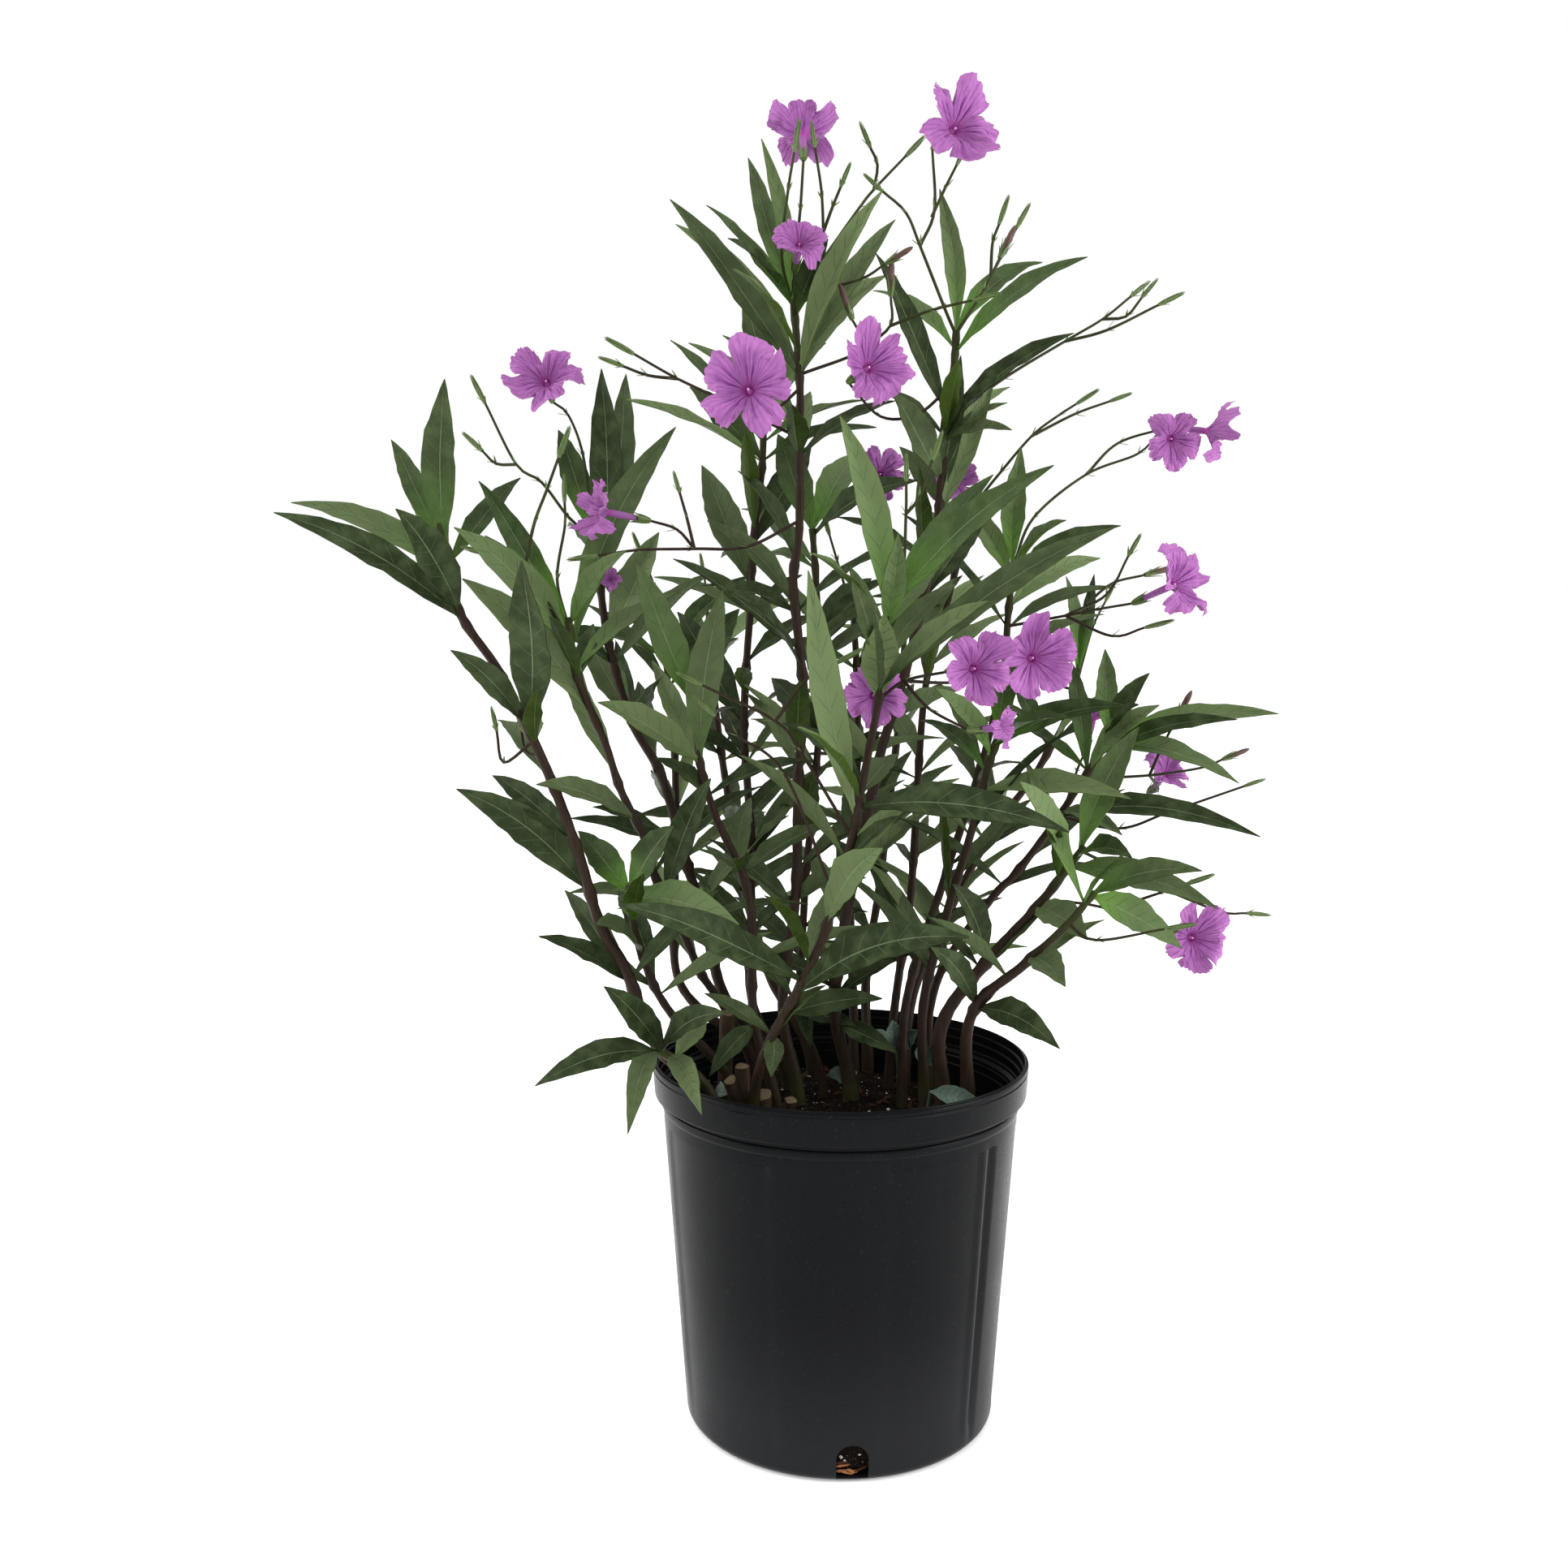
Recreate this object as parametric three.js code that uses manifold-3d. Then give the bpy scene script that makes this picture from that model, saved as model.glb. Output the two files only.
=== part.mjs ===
// A Mexican petunia (Ruellia) in a black nursery pot: the pot, its soil, the leafy stems, the blooms.
// Millimetres, +Z up. The origin is the middle of the pot's foot, on the floor, and -Y is the front.

import * as THREE from "three";
import { mergeVertices } from "three/addons/utils/BufferGeometryUtils.js";
import Module from "manifold-3d";

const wasm = await Module();
wasm.setup();

// Driving dimensions of the pot, in millimetres.
const POT = {
  height: 265,
  rimRadius: 135,
  shoulderRadius: 127.5,
  footRadius: 112,
  heel: 8,
  lipHeight: 24,
  lipWall: 3,
  lipFlare: 1.4,
  edgeRoll: 1.5,
  wall: 2,
  groove: 0.4,
  bead: 0.9,
  beadFoot: 10,
  beadHead: 5,
  floor: 2.6,
  segments: 32,
};
const DRAIN = { width: 22, height: 25, sill: 3.2, count: 4, turn: 2.8 };

// Driving dimensions of the soil and of the holes that the stems stand in.
const SOIL = { level: 226, edge: 118, brim: 190, clearance: 0.35, segments: 24, rings: [1, 0.6] };
const HEAP = { tilt: 0.05, fall: 0.0006, bumps: 2.2, bumpX: 11, bumpY: 13 };
const FOOT = { floor: 172, top: 243, mouth: 263, clearance: 0.43, lift: 0.3 };

// Driving dimensions of the plant, in millimetres, and of its leaves also in shares of their length
// or width. The pairs are the leaves that a rule places.
const STEM = { foot: 3.2, tip: 1.5, sides: 4 };
const STALK = { root: 1.2, tip: 0.9, sides: 3 };
const CALYX = { length: 10, radii: [2.7, 2.3], gap: 0.3 };
const BUD = { length: 20, radii: [2.5, 0.6] };
const POD = { length: 24, radii: [3, 0.7] };
const LEAF = { thick: 1.5, stalkThick: 2, fold: 0.1, wave: 0.09, arch: 0.14, rootDepth: 0.6 };
const HAND = { large: 18, widening: 1.28 };
const PAIRS = {
  lowest: 325,
  apart: 72,
  below: 14,
  jitter: 6,
  length: 78,
  lengthSpread: 34,
  width: 16,
  widthSpread: 3,
  rise: 0.25,
  riseSpread: 0.55,
  stray: 0.3,
  backFrom: 60,
};
const SEEDS = { blooms: 40, hand: 500, pairs: 900 };

// Where a blade's rings are along its midrib, and how wide they are, as shares.
const LARGE_LEAF = { along: [0.08, 0.33, 0.6, 0.83], wide: [0.26, 1, 0.86, 0.44] };
const SMALL_LEAF = { along: [0.1, 0.42, 0.76], wide: [0.3, 1, 0.56] };

// The stems, each with the foot that it stands on, the points that its axis passes going up,
// its leaves and its flower stalks.
// A leaf is [height where it leaves the stem, x, y and z of its tip, width].
// A flower stalk is [what it ends in, first point, next point, ...].
const STEMS = {
  rim_left: {
    foot: [-88, -42],
    route: [
      [-130, -55, 285], [-140, -50, 315], [-150, -60, 345], [-165, -65, 375], [-180, -80, 435],
      [-200, -85, 490], [-225, -90, 545], [-250, -92, 585], [-262, -90, 640],
    ],
    leaves: [
      [505, -200, -120, 615, 24], [395, -250, -110, 475, 22], [575, -355, -130, 645, 18],
      [585, -275, -150, 655, 21], [620, -255, -95, 730, 19], [605, -365, -60, 655, 15],
      [625, -290, -70, 705, 13], [615, -225, -60, 672, 13], [510, -250, -120, 560, 15],
      [430, -240, -40, 472, 15],
    ],
    stalks: [
      ["bud", [-204, -86, 500], [-225, -80, 485], [-230, -75, 505]],
      ["bud", [-200, -85, 490], [-211, -76, 492], [-215, -70, 508]],
    ],
  },
  left_short: {
    foot: [-72, -18],
    route: [[-120, -25, 300], [-138, -42, 345], [-145, -50, 380], [-146, -50, 398]],
    leaves: [
      [392, -112, -95, 445, 20], [392, -185, -15, 430, 18], [345, -170, -95, 385, 18],
      [388, -70, -88, 378, 22],
    ],
    stalks: [],
  },
  left_bend: {
    foot: [-60, 12],
    route: [
      [-85, 10, 300], [-98, 0, 320], [-110, -20, 355], [-130, -30, 400], [-137, -40, 430],
      [-150, -50, 460], [-160, -62, 495], [-178, -70, 545], [-182, -75, 580],
    ],
    leaves: [
      [510, -258, -125, 605, 22], [560, -125, 10, 720, 19], [555, -240, -150, 635, 19],
      [572, -245, -60, 667, 15], [560, -245, -20, 635, 14], [572, -140, -110, 622, 15],
      [440, -195, -95, 477, 17], [385, -98, -75, 465, 19],
    ],
    stalks: [
      ["bud", [-179, -72, 560], [-190, -90, 585], [-205, -100, 615], [-225, -110, 620]],
      ["bud", [-205, -100, 615], [-198, -106, 640], [-190, -106, 660], [-182, -108, 680]],
      ["bud", [-182, -75, 575], [-190, -65, 605], [-185, -60, 640], [-185, -60, 655]],
    ],
  },
  left_tall: {
    foot: [-50, 40],
    route: [
      [-85, 40, 295], [-95, 40, 335], [-115, 35, 410], [-130, 30, 465], [-150, 20, 505],
      [-165, 15, 560], [-170, 10, 600], [-175, 5, 645],
    ],
    leaves: [
      [600, -170, 20, 745, 21], [560, -135, -22, 628, 22], [605, -158, 50, 758, 19],
      [635, -202, 40, 712, 17], [505, -190, 62, 565, 19],
    ],
    stalks: [
      ["bud", [-174, 6, 635], [-190, 0, 648], [-208, -5, 672], [-225, -6, 684], [-245, -10, 725]],
      ["bloom_04", [-175, 5, 640], [-180, 4, 690], [-192, 20, 720]],
      ["bloom_13", [-170, 10, 600], [-160, 2, 602]],
    ],
  },
  left_back: {
    foot: [-62, 72],
    route: [[-120, 85, 290], [-125, 100, 350], [-125, 110, 465], [-130, 110, 520], [-130, 112, 570]],
    leaves: [],
    stalks: [["bud", [-130, 112, 565], [-140, 118, 600], [-150, 120, 625]]],
  },
  mid_left: {
    foot: [-46, -36],
    route: [[-62, -36, 300], [-64, -38, 385], [-88, -36, 445], [-98, -36, 480], [-102, -38, 525]],
    leaves: [
      [480, -80, -85, 598, 21], [480, -162, -85, 525, 20], [520, -130, -60, 625, 20],
      [520, -72, 10, 585, 18],
    ],
    stalks: [],
  },
  mid_dark: {
    foot: [-38, 22],
    route: [
      [-65, 25, 295], [-65, 35, 345], [-65, 45, 420], [-70, 50, 500], [-65, 50, 585],
      [-62, 50, 640], [-56, 45, 690], [-55, 45, 728],
    ],
    leaves: [
      [500, -122, 90, 582, 22], [600, -102, 90, 682, 22], [632, -20, 90, 697, 21],
      [722, -70, 75, 812, 18], [722, -18, 80, 792, 18], [690, -110, 80, 747, 18],
    ],
    stalks: [["bud", [-56, 46, 715], [-48, 30, 750], [-52, 20, 775]]],
  },
  tall_centre: {
    foot: [-30, -12],
    route: [
      [-42, -10, 290], [-40, -10, 325], [-32, -10, 390], [-30, -15, 475], [-26, -15, 515],
      [-30, -20, 560], [-34, -20, 605], [-30, -20, 640], [-30, -25, 700], [-30, -25, 740],
      [-34, -25, 788],
    ],
    leaves: [
      [740, -105, -60, 848, 20], [740, 22, -72, 848, 18], [555, -122, -72, 627, 17],
      [740, 32, 30, 818, 18], [782, -66, -110, 822, 16], [785, -90, -70, 842, 14],
      [785, -65, 10, 892, 16], [785, -55, -55, 887, 13], [740, -115, 10, 848, 17],
      [750, 36, 10, 842, 17], [780, -12, -66, 825, 18], [755, -72, -90, 802, 14],
      [705, -95, -52, 752, 16], [705, -75, 40, 787, 15], [545, -85, -82, 588, 16],
      [585, -95, 10, 647, 16],
    ],
    stalks: [
      ["bloom_01", [-34, -25, 785], [-33, -42, 815], [-30, -56, 842]],
      ["bud", [-34, -25, 785], [-42, -50, 815], [-38, -72, 850], [-34, -80, 872]],
      ["bud", [-34, -25, 785], [-20, -25, 797], [-15, -35, 815], [-16, -62, 848], [-21, -80, 875]],
      ["bud", [-15, -46, 830], [-9, -52, 845], [-4, -58, 856]],
      ["bud", [-15, -35, 815], [10, -20, 852], [20, -10, 866], [42, -2, 890]],
      ["pod", [-20, -25, 797], [10, -38, 802], [26, -48, 810]],
      ["pod", [-30, -25, 742], [12, -32, 758], [5, -36, 776]],
      ["pod", [12, -32, 758], [30, -38, 772], [30, -42, 790]],
      ["bud", [30, -38, 772], [55, -48, 780], [82, -58, 785]],
      ["bud", [-30, -20, 645], [-65, -40, 627], [-100, -55, 625], [-135, -66, 624], [-162, -74, 620]],
      ["bloom_07", [-100, -55, 625], [-112, -48, 638]],
      ["bud", [-100, -55, 625], [-105, -50, 645], [-110, -45, 662]],
      ["bud", [-30, -25, 700], [-75, -46, 720], [-110, -58, 735], [-138, -64, 750]],
      ["bloom_03", [-34, -25, 780], [-35, -38, 788]],
      ["bloom_05", [-31, -25, 732], [-44, -46, 718], [-60, -58, 706]],
    ],
  },
  second_centre: {
    foot: [-12, 10],
    route: [[-28, 15, 290], [-25, 25, 385], [-20, 30, 440], [-15, 32, 500], [-15, 32, 560], [-20, 35, 642]],
    leaves: [
      [640, -45, 70, 712, 20], [640, 15, 80, 702, 20], [555, 25, 82, 607, 20], [495, -50, 90, 532, 20],
    ],
    stalks: [["bloom_08", [-20, 35, 638], [5, 40, 662]]],
  },
  front: {
    foot: [-62, -62],
    route: [
      [-54, -80, 290], [-40, -90, 318], [-26, -92, 345], [-14, -98, 375], [0, -102, 425],
      [6, -105, 450], [10, -106, 475], [20, -110, 530], [25, -110, 585],
    ],
    leaves: [
      [580, -5, -90, 708, 17], [580, 122, -150, 672, 17], [450, -26, -130, 618, 18],
      [460, 132, -172, 452, 21], [340, -142, -160, 405, 22], [330, 72, -160, 388, 25],
      [580, 86, -90, 672, 16], [535, 165, -122, 636, 17], [380, 20, -150, 432, 23],
      [550, -10, -150, 612, 14], [535, 86, -162, 582, 15], [570, 30, -132, 632, 13],
      [530, 20, -152, 586, 15],
    ],
    stalks: [
      ["bloom_14", [20, -110, 528], [36, -108, 540], [62, -98, 545]],
      ["bloom_15", [36, -108, 540], [70, -84, 538], [100, -78, 545]],
      ["bloom_16", [36, -108, 540], [50, -130, 524]],
      ["bud", [25, -110, 583], [34, -112, 605], [36, -112, 645], [36, -112, 665]],
      ["bud", [3, -104, 440], [-30, -110, 495], [-46, -115, 515], [-92, -120, 538]],
      ["bud", [-46, -115, 515], [-25, -120, 543], [-8, -122, 552]],
      ["bud", [-8, -100, 400], [-40, -106, 480], [-70, -110, 505], [-84, -112, 518]],
    ],
  },
  tall_right: {
    foot: [8, -2],
    route: [
      [-5, -5, 300], [5, -10, 375], [20, -15, 450], [27, -15, 485], [40, -20, 530],
      [55, -20, 590], [65, -20, 650], [70, -20, 710], [75, -16, 750], [76, -15, 772],
    ],
    leaves: [
      [715, 30, -50, 822, 18], [768, 65, -32, 868, 15], [770, 145, 30, 832, 16],
      [755, 156, -60, 812, 17], [715, 146, -72, 762, 16], [670, 30, -62, 726, 24],
      [700, 100, -82, 732, 14], [700, 70, -90, 742, 14], [700, 106, -80, 700, 14],
      [655, 40, 20, 697, 16], [590, 105, 30, 652, 19],
    ],
    stalks: [
      ["bud", [76, -15, 770], [68, -22, 785], [50, -30, 825], [40, -36, 845], [24, -40, 858]],
      ["bloom_02", [50, -30, 825], [60, -22, 850]],
      ["bud", [58, -24, 845], [66, -26, 862], [74, -24, 878]],
      ["pod", [76, -15, 770], [95, -10, 800], [106, -6, 822]],
      ["bud", [95, -10, 800], [112, 0, 832], [118, 0, 843]],
      ["bud", [71, -20, 712], [110, -4, 742], [155, 15, 770], [182, 20, 786], [202, 25, 802]],
      ["bud", [155, 15, 770], [182, 5, 776], [216, 0, 792]],
      ["bloom_06", [72, -18, 735], [50, -26, 716], [24, -38, 713]],
      ["bloom_17", [39, -20, 525], [30, -30, 520]],
    ],
  },
  back_centre: {
    foot: [12, 48],
    route: [[12, 60, 290], [10, 70, 370], [15, 85, 465], [15, 92, 530], [12, 96, 585]],
    leaves: [],
    stalks: [["bud", [12, 96, 580], [0, 100, 620], [-6, 102, 640]]],
  },
  right_back: {
    foot: [38, 34],
    route: [
      [42, 40, 290], [55, 58, 375], [60, 70, 455], [66, 80, 525], [80, 82, 580],
      [90, 85, 625], [95, 85, 675],
    ],
    leaves: [],
    stalks: [
      ["bud", [92, 85, 650], [120, 80, 685], [142, 75, 711], [160, 75, 725], [174, 72, 734]],
      ["bud", [142, 75, 711], [175, 85, 728], [202, 90, 738]],
      ["bloom_09", [95, 85, 670], [92, 88, 678]],
    ],
  },
  right_upper: {
    foot: [45, -2],
    route: [[48, 6, 305], [75, 25, 385], [100, 35, 460], [118, 40, 530], [122, 40, 580], [125, 40, 618]],
    leaves: [
      [615, 125, 52, 698, 19], [605, 196, 10, 652, 17], [585, 196, 82, 622, 18],
      [605, 82, 30, 667, 19], [610, 142, 0, 645, 16],
    ],
    stalks: [
      ["bloom_12", [121, 40, 572], [160, 20, 580], [178, 12, 584]],
      ["bud", [160, 20, 580], [190, 25, 595], [205, 26, 622]],
      ["pod", [175, 22, 588], [196, 35, 603], [220, 40, 609]],
      ["bud", [160, 20, 580], [190, 3, 566], [212, -2, 572]],
      ["bloom_10", [125, 40, 615], [140, 46, 650], [180, 60, 682], [220, 72, 698]],
      ["bloom_11", [180, 60, 682], [206, 76, 706]],
      ["pod", [118, 40, 530], [145, 62, 552], [162, 74, 558]],
    ],
  },
  right_fan: {
    foot: [60, -14],
    route: [[58, -14, 305], [74, -16, 370], [92, -18, 435], [100, -20, 470], [108, -20, 497]],
    leaves: [
      [490, 185, -72, 522, 18], [460, 190, -75, 460, 18], [490, 140, -92, 508, 16],
      [495, 115, -40, 562, 17], [480, 60, -66, 542, 17],
    ],
    stalks: [],
  },
  right_long: {
    foot: [72, -30],
    route: [[68, -33, 295], [100, -34, 340], [135, -40, 382], [165, -46, 424]],
    leaves: [
      [420, 190, -92, 506, 19], [410, 252, -84, 382, 18], [415, 110, -112, 476, 17],
      [415, 192, -112, 418, 16], [380, 160, -102, 368, 23], [340, 70, -92, 406, 17],
    ],
    stalks: [
      ["bloom_20", [125, -38, 370], [150, -42, 384], [185, -40, 379], [215, -34, 366]],
      ["bud", [185, -40, 379], [212, -54, 392], [232, -58, 400]],
      ["bud", [164, -46, 420], [210, -38, 398], [262, -30, 376], [282, -28, 374]],
    ],
  },
  right_low: {
    foot: [88, -44],
    route: [[86, -60, 310], [120, -82, 350], [146, -94, 380], [162, -98, 402]],
    leaves: [
      [400, 222, -92, 372, 20], [400, 215, -122, 436, 15], [355, 146, -112, 358, 18],
      [315, 136, -102, 306, 18], [315, 55, -102, 366, 16],
    ],
    stalks: [["bud", [146, -94, 380], [162, -108, 372], [205, -112, 380]]],
  },
  right_reach: {
    foot: [66, 26],
    route: [[70, 26, 310], [110, 20, 375], [128, 18, 395], [155, 10, 435], [175, 2, 470], [190, -4, 498]],
    leaves: [
      [485, 306, 20, 512, 19], [490, 282, 0, 462, 19], [435, 292, -22, 427, 19],
      [495, 185, 0, 557, 17], [470, 212, -52, 512, 18], [480, 262, -62, 512, 15],
      [440, 190, -62, 432, 18], [495, 207, -42, 542, 15], [492, 196, -62, 522, 15],
      [470, 170, 62, 537, 16],
    ],
    stalks: [
      ["bud", [156, 10, 437], [200, 12, 428], [236, 12, 440], [290, 16, 458]],
      ["pod", [172, 3, 465], [222, 16, 466], [260, 20, 471], [275, 20, 477]],
      ["pod", [222, 16, 466], [230, 12, 488], [238, 10, 505]],
      ["bloom_18", [160, 8, 443], [172, 28, 468]],
      ["bloom_19", [222, 16, 466], [236, 48, 452]],
    ],
  },
  right_rear: {
    foot: [52, 66],
    route: [
      [60, 80, 295], [92, 108, 355], [125, 128, 410], [160, 140, 455], [185, 148, 500], [195, 150, 540],
    ],
    leaves: [],
    stalks: [
      ["bud", [195, 150, 535], [205, 152, 570], [214, 150, 590]],
      ["bloom_22", [190, 149, 520], [176, 158, 524]],
    ],
  },
  back_left: {
    foot: [-20, 92],
    route: [[-50, 112, 290], [-72, 140, 360], [-88, 165, 445], [-98, 178, 520], [-102, 182, 580]],
    leaves: [],
    stalks: [["bud", [-102, 182, 575], [-104, 188, 600], [-106, 190, 612]]],
  },
  back_right: {
    foot: [25, 95],
    route: [[24, 118, 290], [36, 148, 360], [48, 175, 445], [56, 188, 520], [58, 192, 560]],
    leaves: [],
    stalks: [
      ["bloom_21", [54, 184, 500], [50, 176, 497]],
      ["bud", [58, 192, 555], [60, 196, 572], [60, 198, 582]],
    ],
  },
  rim_shoot: {
    foot: [-84, -70],
    route: [[-94, -73, 268], [-112, -79, 284], [-128, -84, 292]],
    leaves: [
      [290, -200, -132, 282, 17], [288, -155, -132, 347, 17], [288, -86, -142, 332, 16],
      [288, -92, -156, 280, 14], [289, -134, -160, 274, 14], [284, -95, -60, 300, 14],
    ],
    stalks: [],
  },
};

// The open blooms: the middle of each mouth, the way it faces, its radius, the length of its tube, and
// how far its lobes are turned, in degrees.
const BLOOMS = {
  bloom_01: { mouth: [-28, -30, 900], faces: [0, 0.75, 0.65], radius: 25, tube: 32, turn: 18 },
  bloom_02: { mouth: [76, -42, 901], faces: [0.4, -0.88, 0.18], radius: 31, tube: 30, turn: 65 },
  bloom_03: { mouth: [-30, -74, 821], faces: [0.1, -0.85, 0.45], radius: 20, tube: 24, turn: 18 },
  bloom_04: { mouth: [-205, -8, 745], faces: [-0.05, -1, 0.5], radius: 30, tube: 24, turn: 68 },
  bloom_05: { mouth: [-65, -112, 725], faces: [-0.2, -0.97, 0.22], radius: 34, tube: 32, turn: 12 },
  bloom_06: { mouth: [18, -82, 742], faces: [0.42, -0.87, 0.2], radius: 29, tube: 28, turn: 35 },
  bloom_07: { mouth: [-165, -66, 650], faces: [-0.85, -0.45, 0.15], radius: 22, tube: 30, turn: 18 },
  bloom_08: { mouth: [28, 12, 680], faces: [0.1, -1, 0.1], radius: 21, tube: 24, turn: 50 },
  bloom_09: { mouth: [80, 42, 678], faces: [-0.1, -1, 0.1], radius: 21, tube: 26, turn: 10 },
  bloom_10: { mouth: [240, 42, 705], faces: [0.12, -0.95, -0.22], radius: 24, tube: 26, turn: 60 },
  bloom_11: { mouth: [278, 60, 712], faces: [0.95, -0.4, -0.15], radius: 26, tube: 28, turn: 20 },
  bloom_12: { mouth: [234, -24, 605], faces: [0.62, -0.7, 0.35], radius: 30, tube: 36, turn: 22 },
  bloom_13: { mouth: [-160, -18, 606], faces: [0.1, -0.9, 0.4], radius: 9, tube: 10, turn: 0 },
  bloom_14: { mouth: [79, -147, 550], faces: [0.22, -0.95, 0.08], radius: 27, tube: 30, turn: 52 },
  bloom_15: { mouth: [118, -126, 556], faces: [0.2, -0.95, 0.1], radius: 28, tube: 30, turn: 25 },
  bloom_16: { mouth: [96, -152, 514], faces: [0.85, -0.5, 0.1], radius: 14, tube: 16, turn: 40 },
  bloom_17: { mouth: [20, -72, 530], faces: [0.1, -1, 0.2], radius: 24, tube: 22, turn: 54 },
  bloom_18: { mouth: [192, 62, 512], faces: [0.3, 0.2, 1], radius: 23, tube: 28, turn: 30 },
  bloom_19: { mouth: [247, 58, 466], faces: [0.3, -0.7, 0.6], radius: 21, tube: 24, turn: 60 },
  bloom_20: { mouth: [236, -78, 366], faces: [0.2, -0.97, 0.08], radius: 27, tube: 28, turn: 48 },
  bloom_21: { mouth: [35, 208, 514], faces: [-0.1, 1, 0.3], radius: 25, tube: 28, turn: 5 },
  bloom_22: { mouth: [167, 208, 545], faces: [0.2, 1, 0.35], radius: 25, tube: 28, turn: 45 },
};

// A lobe's edge at its tip, one shoulder, the notch and the other shoulder: how far out it is and
// how far forward, in radii of the bloom, and how far aside, in radians.
const LOBE = {
  out: [0.97, 1, 0.6, 1],
  lift: [0.03, 0.06, 0.02, 0.06],
  aside: [0, 0.1, 0, -0.1],
  wave: 0.2,
};

// The funnel under the lobes: the tube's foot and neck in millimetres, the rest in radii of the bloom.
const FUNNEL = {
  foot: 1.9,
  neck: 2.4,
  flare: { out: 0.27, back: 0.34 },
  limb: { out: [0.52, 0.42], back: 0.14, thick: 1.3 },
  throat: { out: 0.19, back: 0.28, deep: 0.4 },
  slope: 0.3,
};

const COLOURS = {
  pot: { color: 0x26272a, roughness: 0.42, metalness: 0 },
  soil: { color: 0x1d1611, roughness: 0.98, metalness: 0 },
  foliage: { color: 0x3c5236, roughness: 0.55, metalness: 0 },
  petal: { color: 0xa960ba, roughness: 0.6, metalness: 0 },
};

const UP = new THREE.Vector3(0, 0, 1);
const vec = ([x, y, z]) => new THREE.Vector3(x, y, z);

// Draws between 0 and 1 that are the same on every run.
function drawsFrom(seed) {
  let state = seed;
  return () => {
    state = (state * 1664525 + 1013904223) % 4294967296;
    return state / 4294967296;
  };
}

// A closed mesh through rings of points, which run anticlockwise as seen from the far end.
// Neighbouring rings have equal counts, or one has twice the other's, or one is a single point.
function skin(rings) {
  const corners = [];
  const face = (a, b, c) => corners.push(...a, ...b, ...c);
  const band = (from, to) => {
    const n = from.length;
    for (let j = 0; j < n; j++) {
      const k = (j + 1) % n;
      if (j % 2 === 0) {
        face(from[j], from[k], to[k]);
        face(from[j], to[k], to[j]);
      } else {
        face(from[j], from[k], to[j]);
        face(from[k], to[k], to[j]);
      }
    }
  };
  const widening = (few, many, turned) => {
    const n = few.length;
    const put = turned ? (a, b, c) => face(a, c, b) : face;
    for (let j = 0; j < n; j++) {
      const before = many[(2 * j + 2 * n - 1) % (2 * n)];
      const after = many[2 * j + 1];
      put(few[j], many[2 * j], before);
      put(few[j], after, many[2 * j]);
      put(few[j], few[(j + 1) % n], after);
    }
  };
  const fan = (ring, tip, turned) => {
    ring.forEach((point, j) => {
      const next = ring[(j + 1) % ring.length];
      turned ? face(tip, next, point) : face(tip, point, next);
    });
  };
  const cap = (ring, turned) => {
    for (let j = 1; j < ring.length - 1; j++) {
      turned ? face(ring[0], ring[j + 1], ring[j]) : face(ring[0], ring[j], ring[j + 1]);
    }
  };
  if (rings[0].length > 1) cap(rings[0], true);
  for (let i = 1; i < rings.length; i++) {
    const [from, to] = [rings[i - 1], rings[i]];
    if (from.length === 1) fan(to, from[0], true);
    else if (to.length === 1) fan(from, to[0], false);
    else if (from.length === to.length) band(from, to);
    else if (from.length < to.length) widening(from, to, false);
    else widening(to, from, true);
  }
  if (rings.at(-1).length > 1) cap(rings.at(-1), false);
  const geometry = new THREE.BufferGeometry();
  geometry.setAttribute("position", new THREE.Float32BufferAttribute(corners, 3));
  return geometry;
}

// A closed geometry as a solid that can be joined and cut.
function solid(geometry) {
  geometry.deleteAttribute("normal");
  geometry.deleteAttribute("uv");
  const merged = mergeVertices(geometry, 1e-3);
  return new wasm.Manifold(
    new wasm.Mesh({
      numProp: 3,
      vertProperties: merged.attributes.position.array,
      triVerts: new Uint32Array(merged.index.array),
    }),
  );
}

// The largest body of a solid, so that a sealed hollow is filled and a loose scrap is dropped.
function wholeBody(made) {
  const bodies = made.decompose();
  return bodies.reduce((largest, body) => (body.volume() > largest.volume() ? body : largest));
}

function mesh(name, made, finish) {
  const { vertProperties, triVerts, numProp } = made.getMesh();
  const geometry = new THREE.BufferGeometry();
  geometry.setAttribute("position", new THREE.BufferAttribute(vertProperties, numProp));
  geometry.setIndex(new THREE.BufferAttribute(triVerts, 1));
  geometry.computeVertexNormals();
  const piece = new THREE.Mesh(geometry, new THREE.MeshStandardMaterial(finish));
  piece.name = name;
  return piece;
}

// The rings of a tube along a line of points, each level with the way the line runs there.
function tubeRings(points, radii, sides) {
  const ways = points.map((point, i) => {
    const back = points[Math.max(i - 1, 0)];
    const on = points[Math.min(i + 1, points.length - 1)];
    return on.clone().sub(back).normalize();
  });
  const upright = Math.abs(ways[0].z) > 0.7;
  let across = new THREE.Vector3(0, upright ? 1 : 0, upright ? 0 : 1).cross(ways[0]).normalize();
  return points.map((point, i) => {
    across = across.clone().addScaledVector(ways[i], -across.dot(ways[i])).normalize();
    const over = ways[i].clone().cross(across);
    return ringAround(point, across, over, radii[i], sides);
  });
}

function ringAround(middle, across, over, radius, sides) {
  return Array.from({ length: sides }, (_, j) => {
    const angle = (2 * Math.PI * j) / sides;
    return middle
      .clone()
      .addScaledVector(across, radius * Math.cos(angle))
      .addScaledVector(over, radius * Math.sin(angle));
  });
}

// The point at a height on a line that climbs.
function pointAtHeight(line, height) {
  const i = Math.max(1, line.findIndex((point, k) => k > 0 && point.z >= height));
  const [below, above] = [line[i - 1], line[i]];
  const share = Math.min(1, (height - below.z) / (above.z - below.z));
  return below.clone().lerp(above, share);
}

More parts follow.
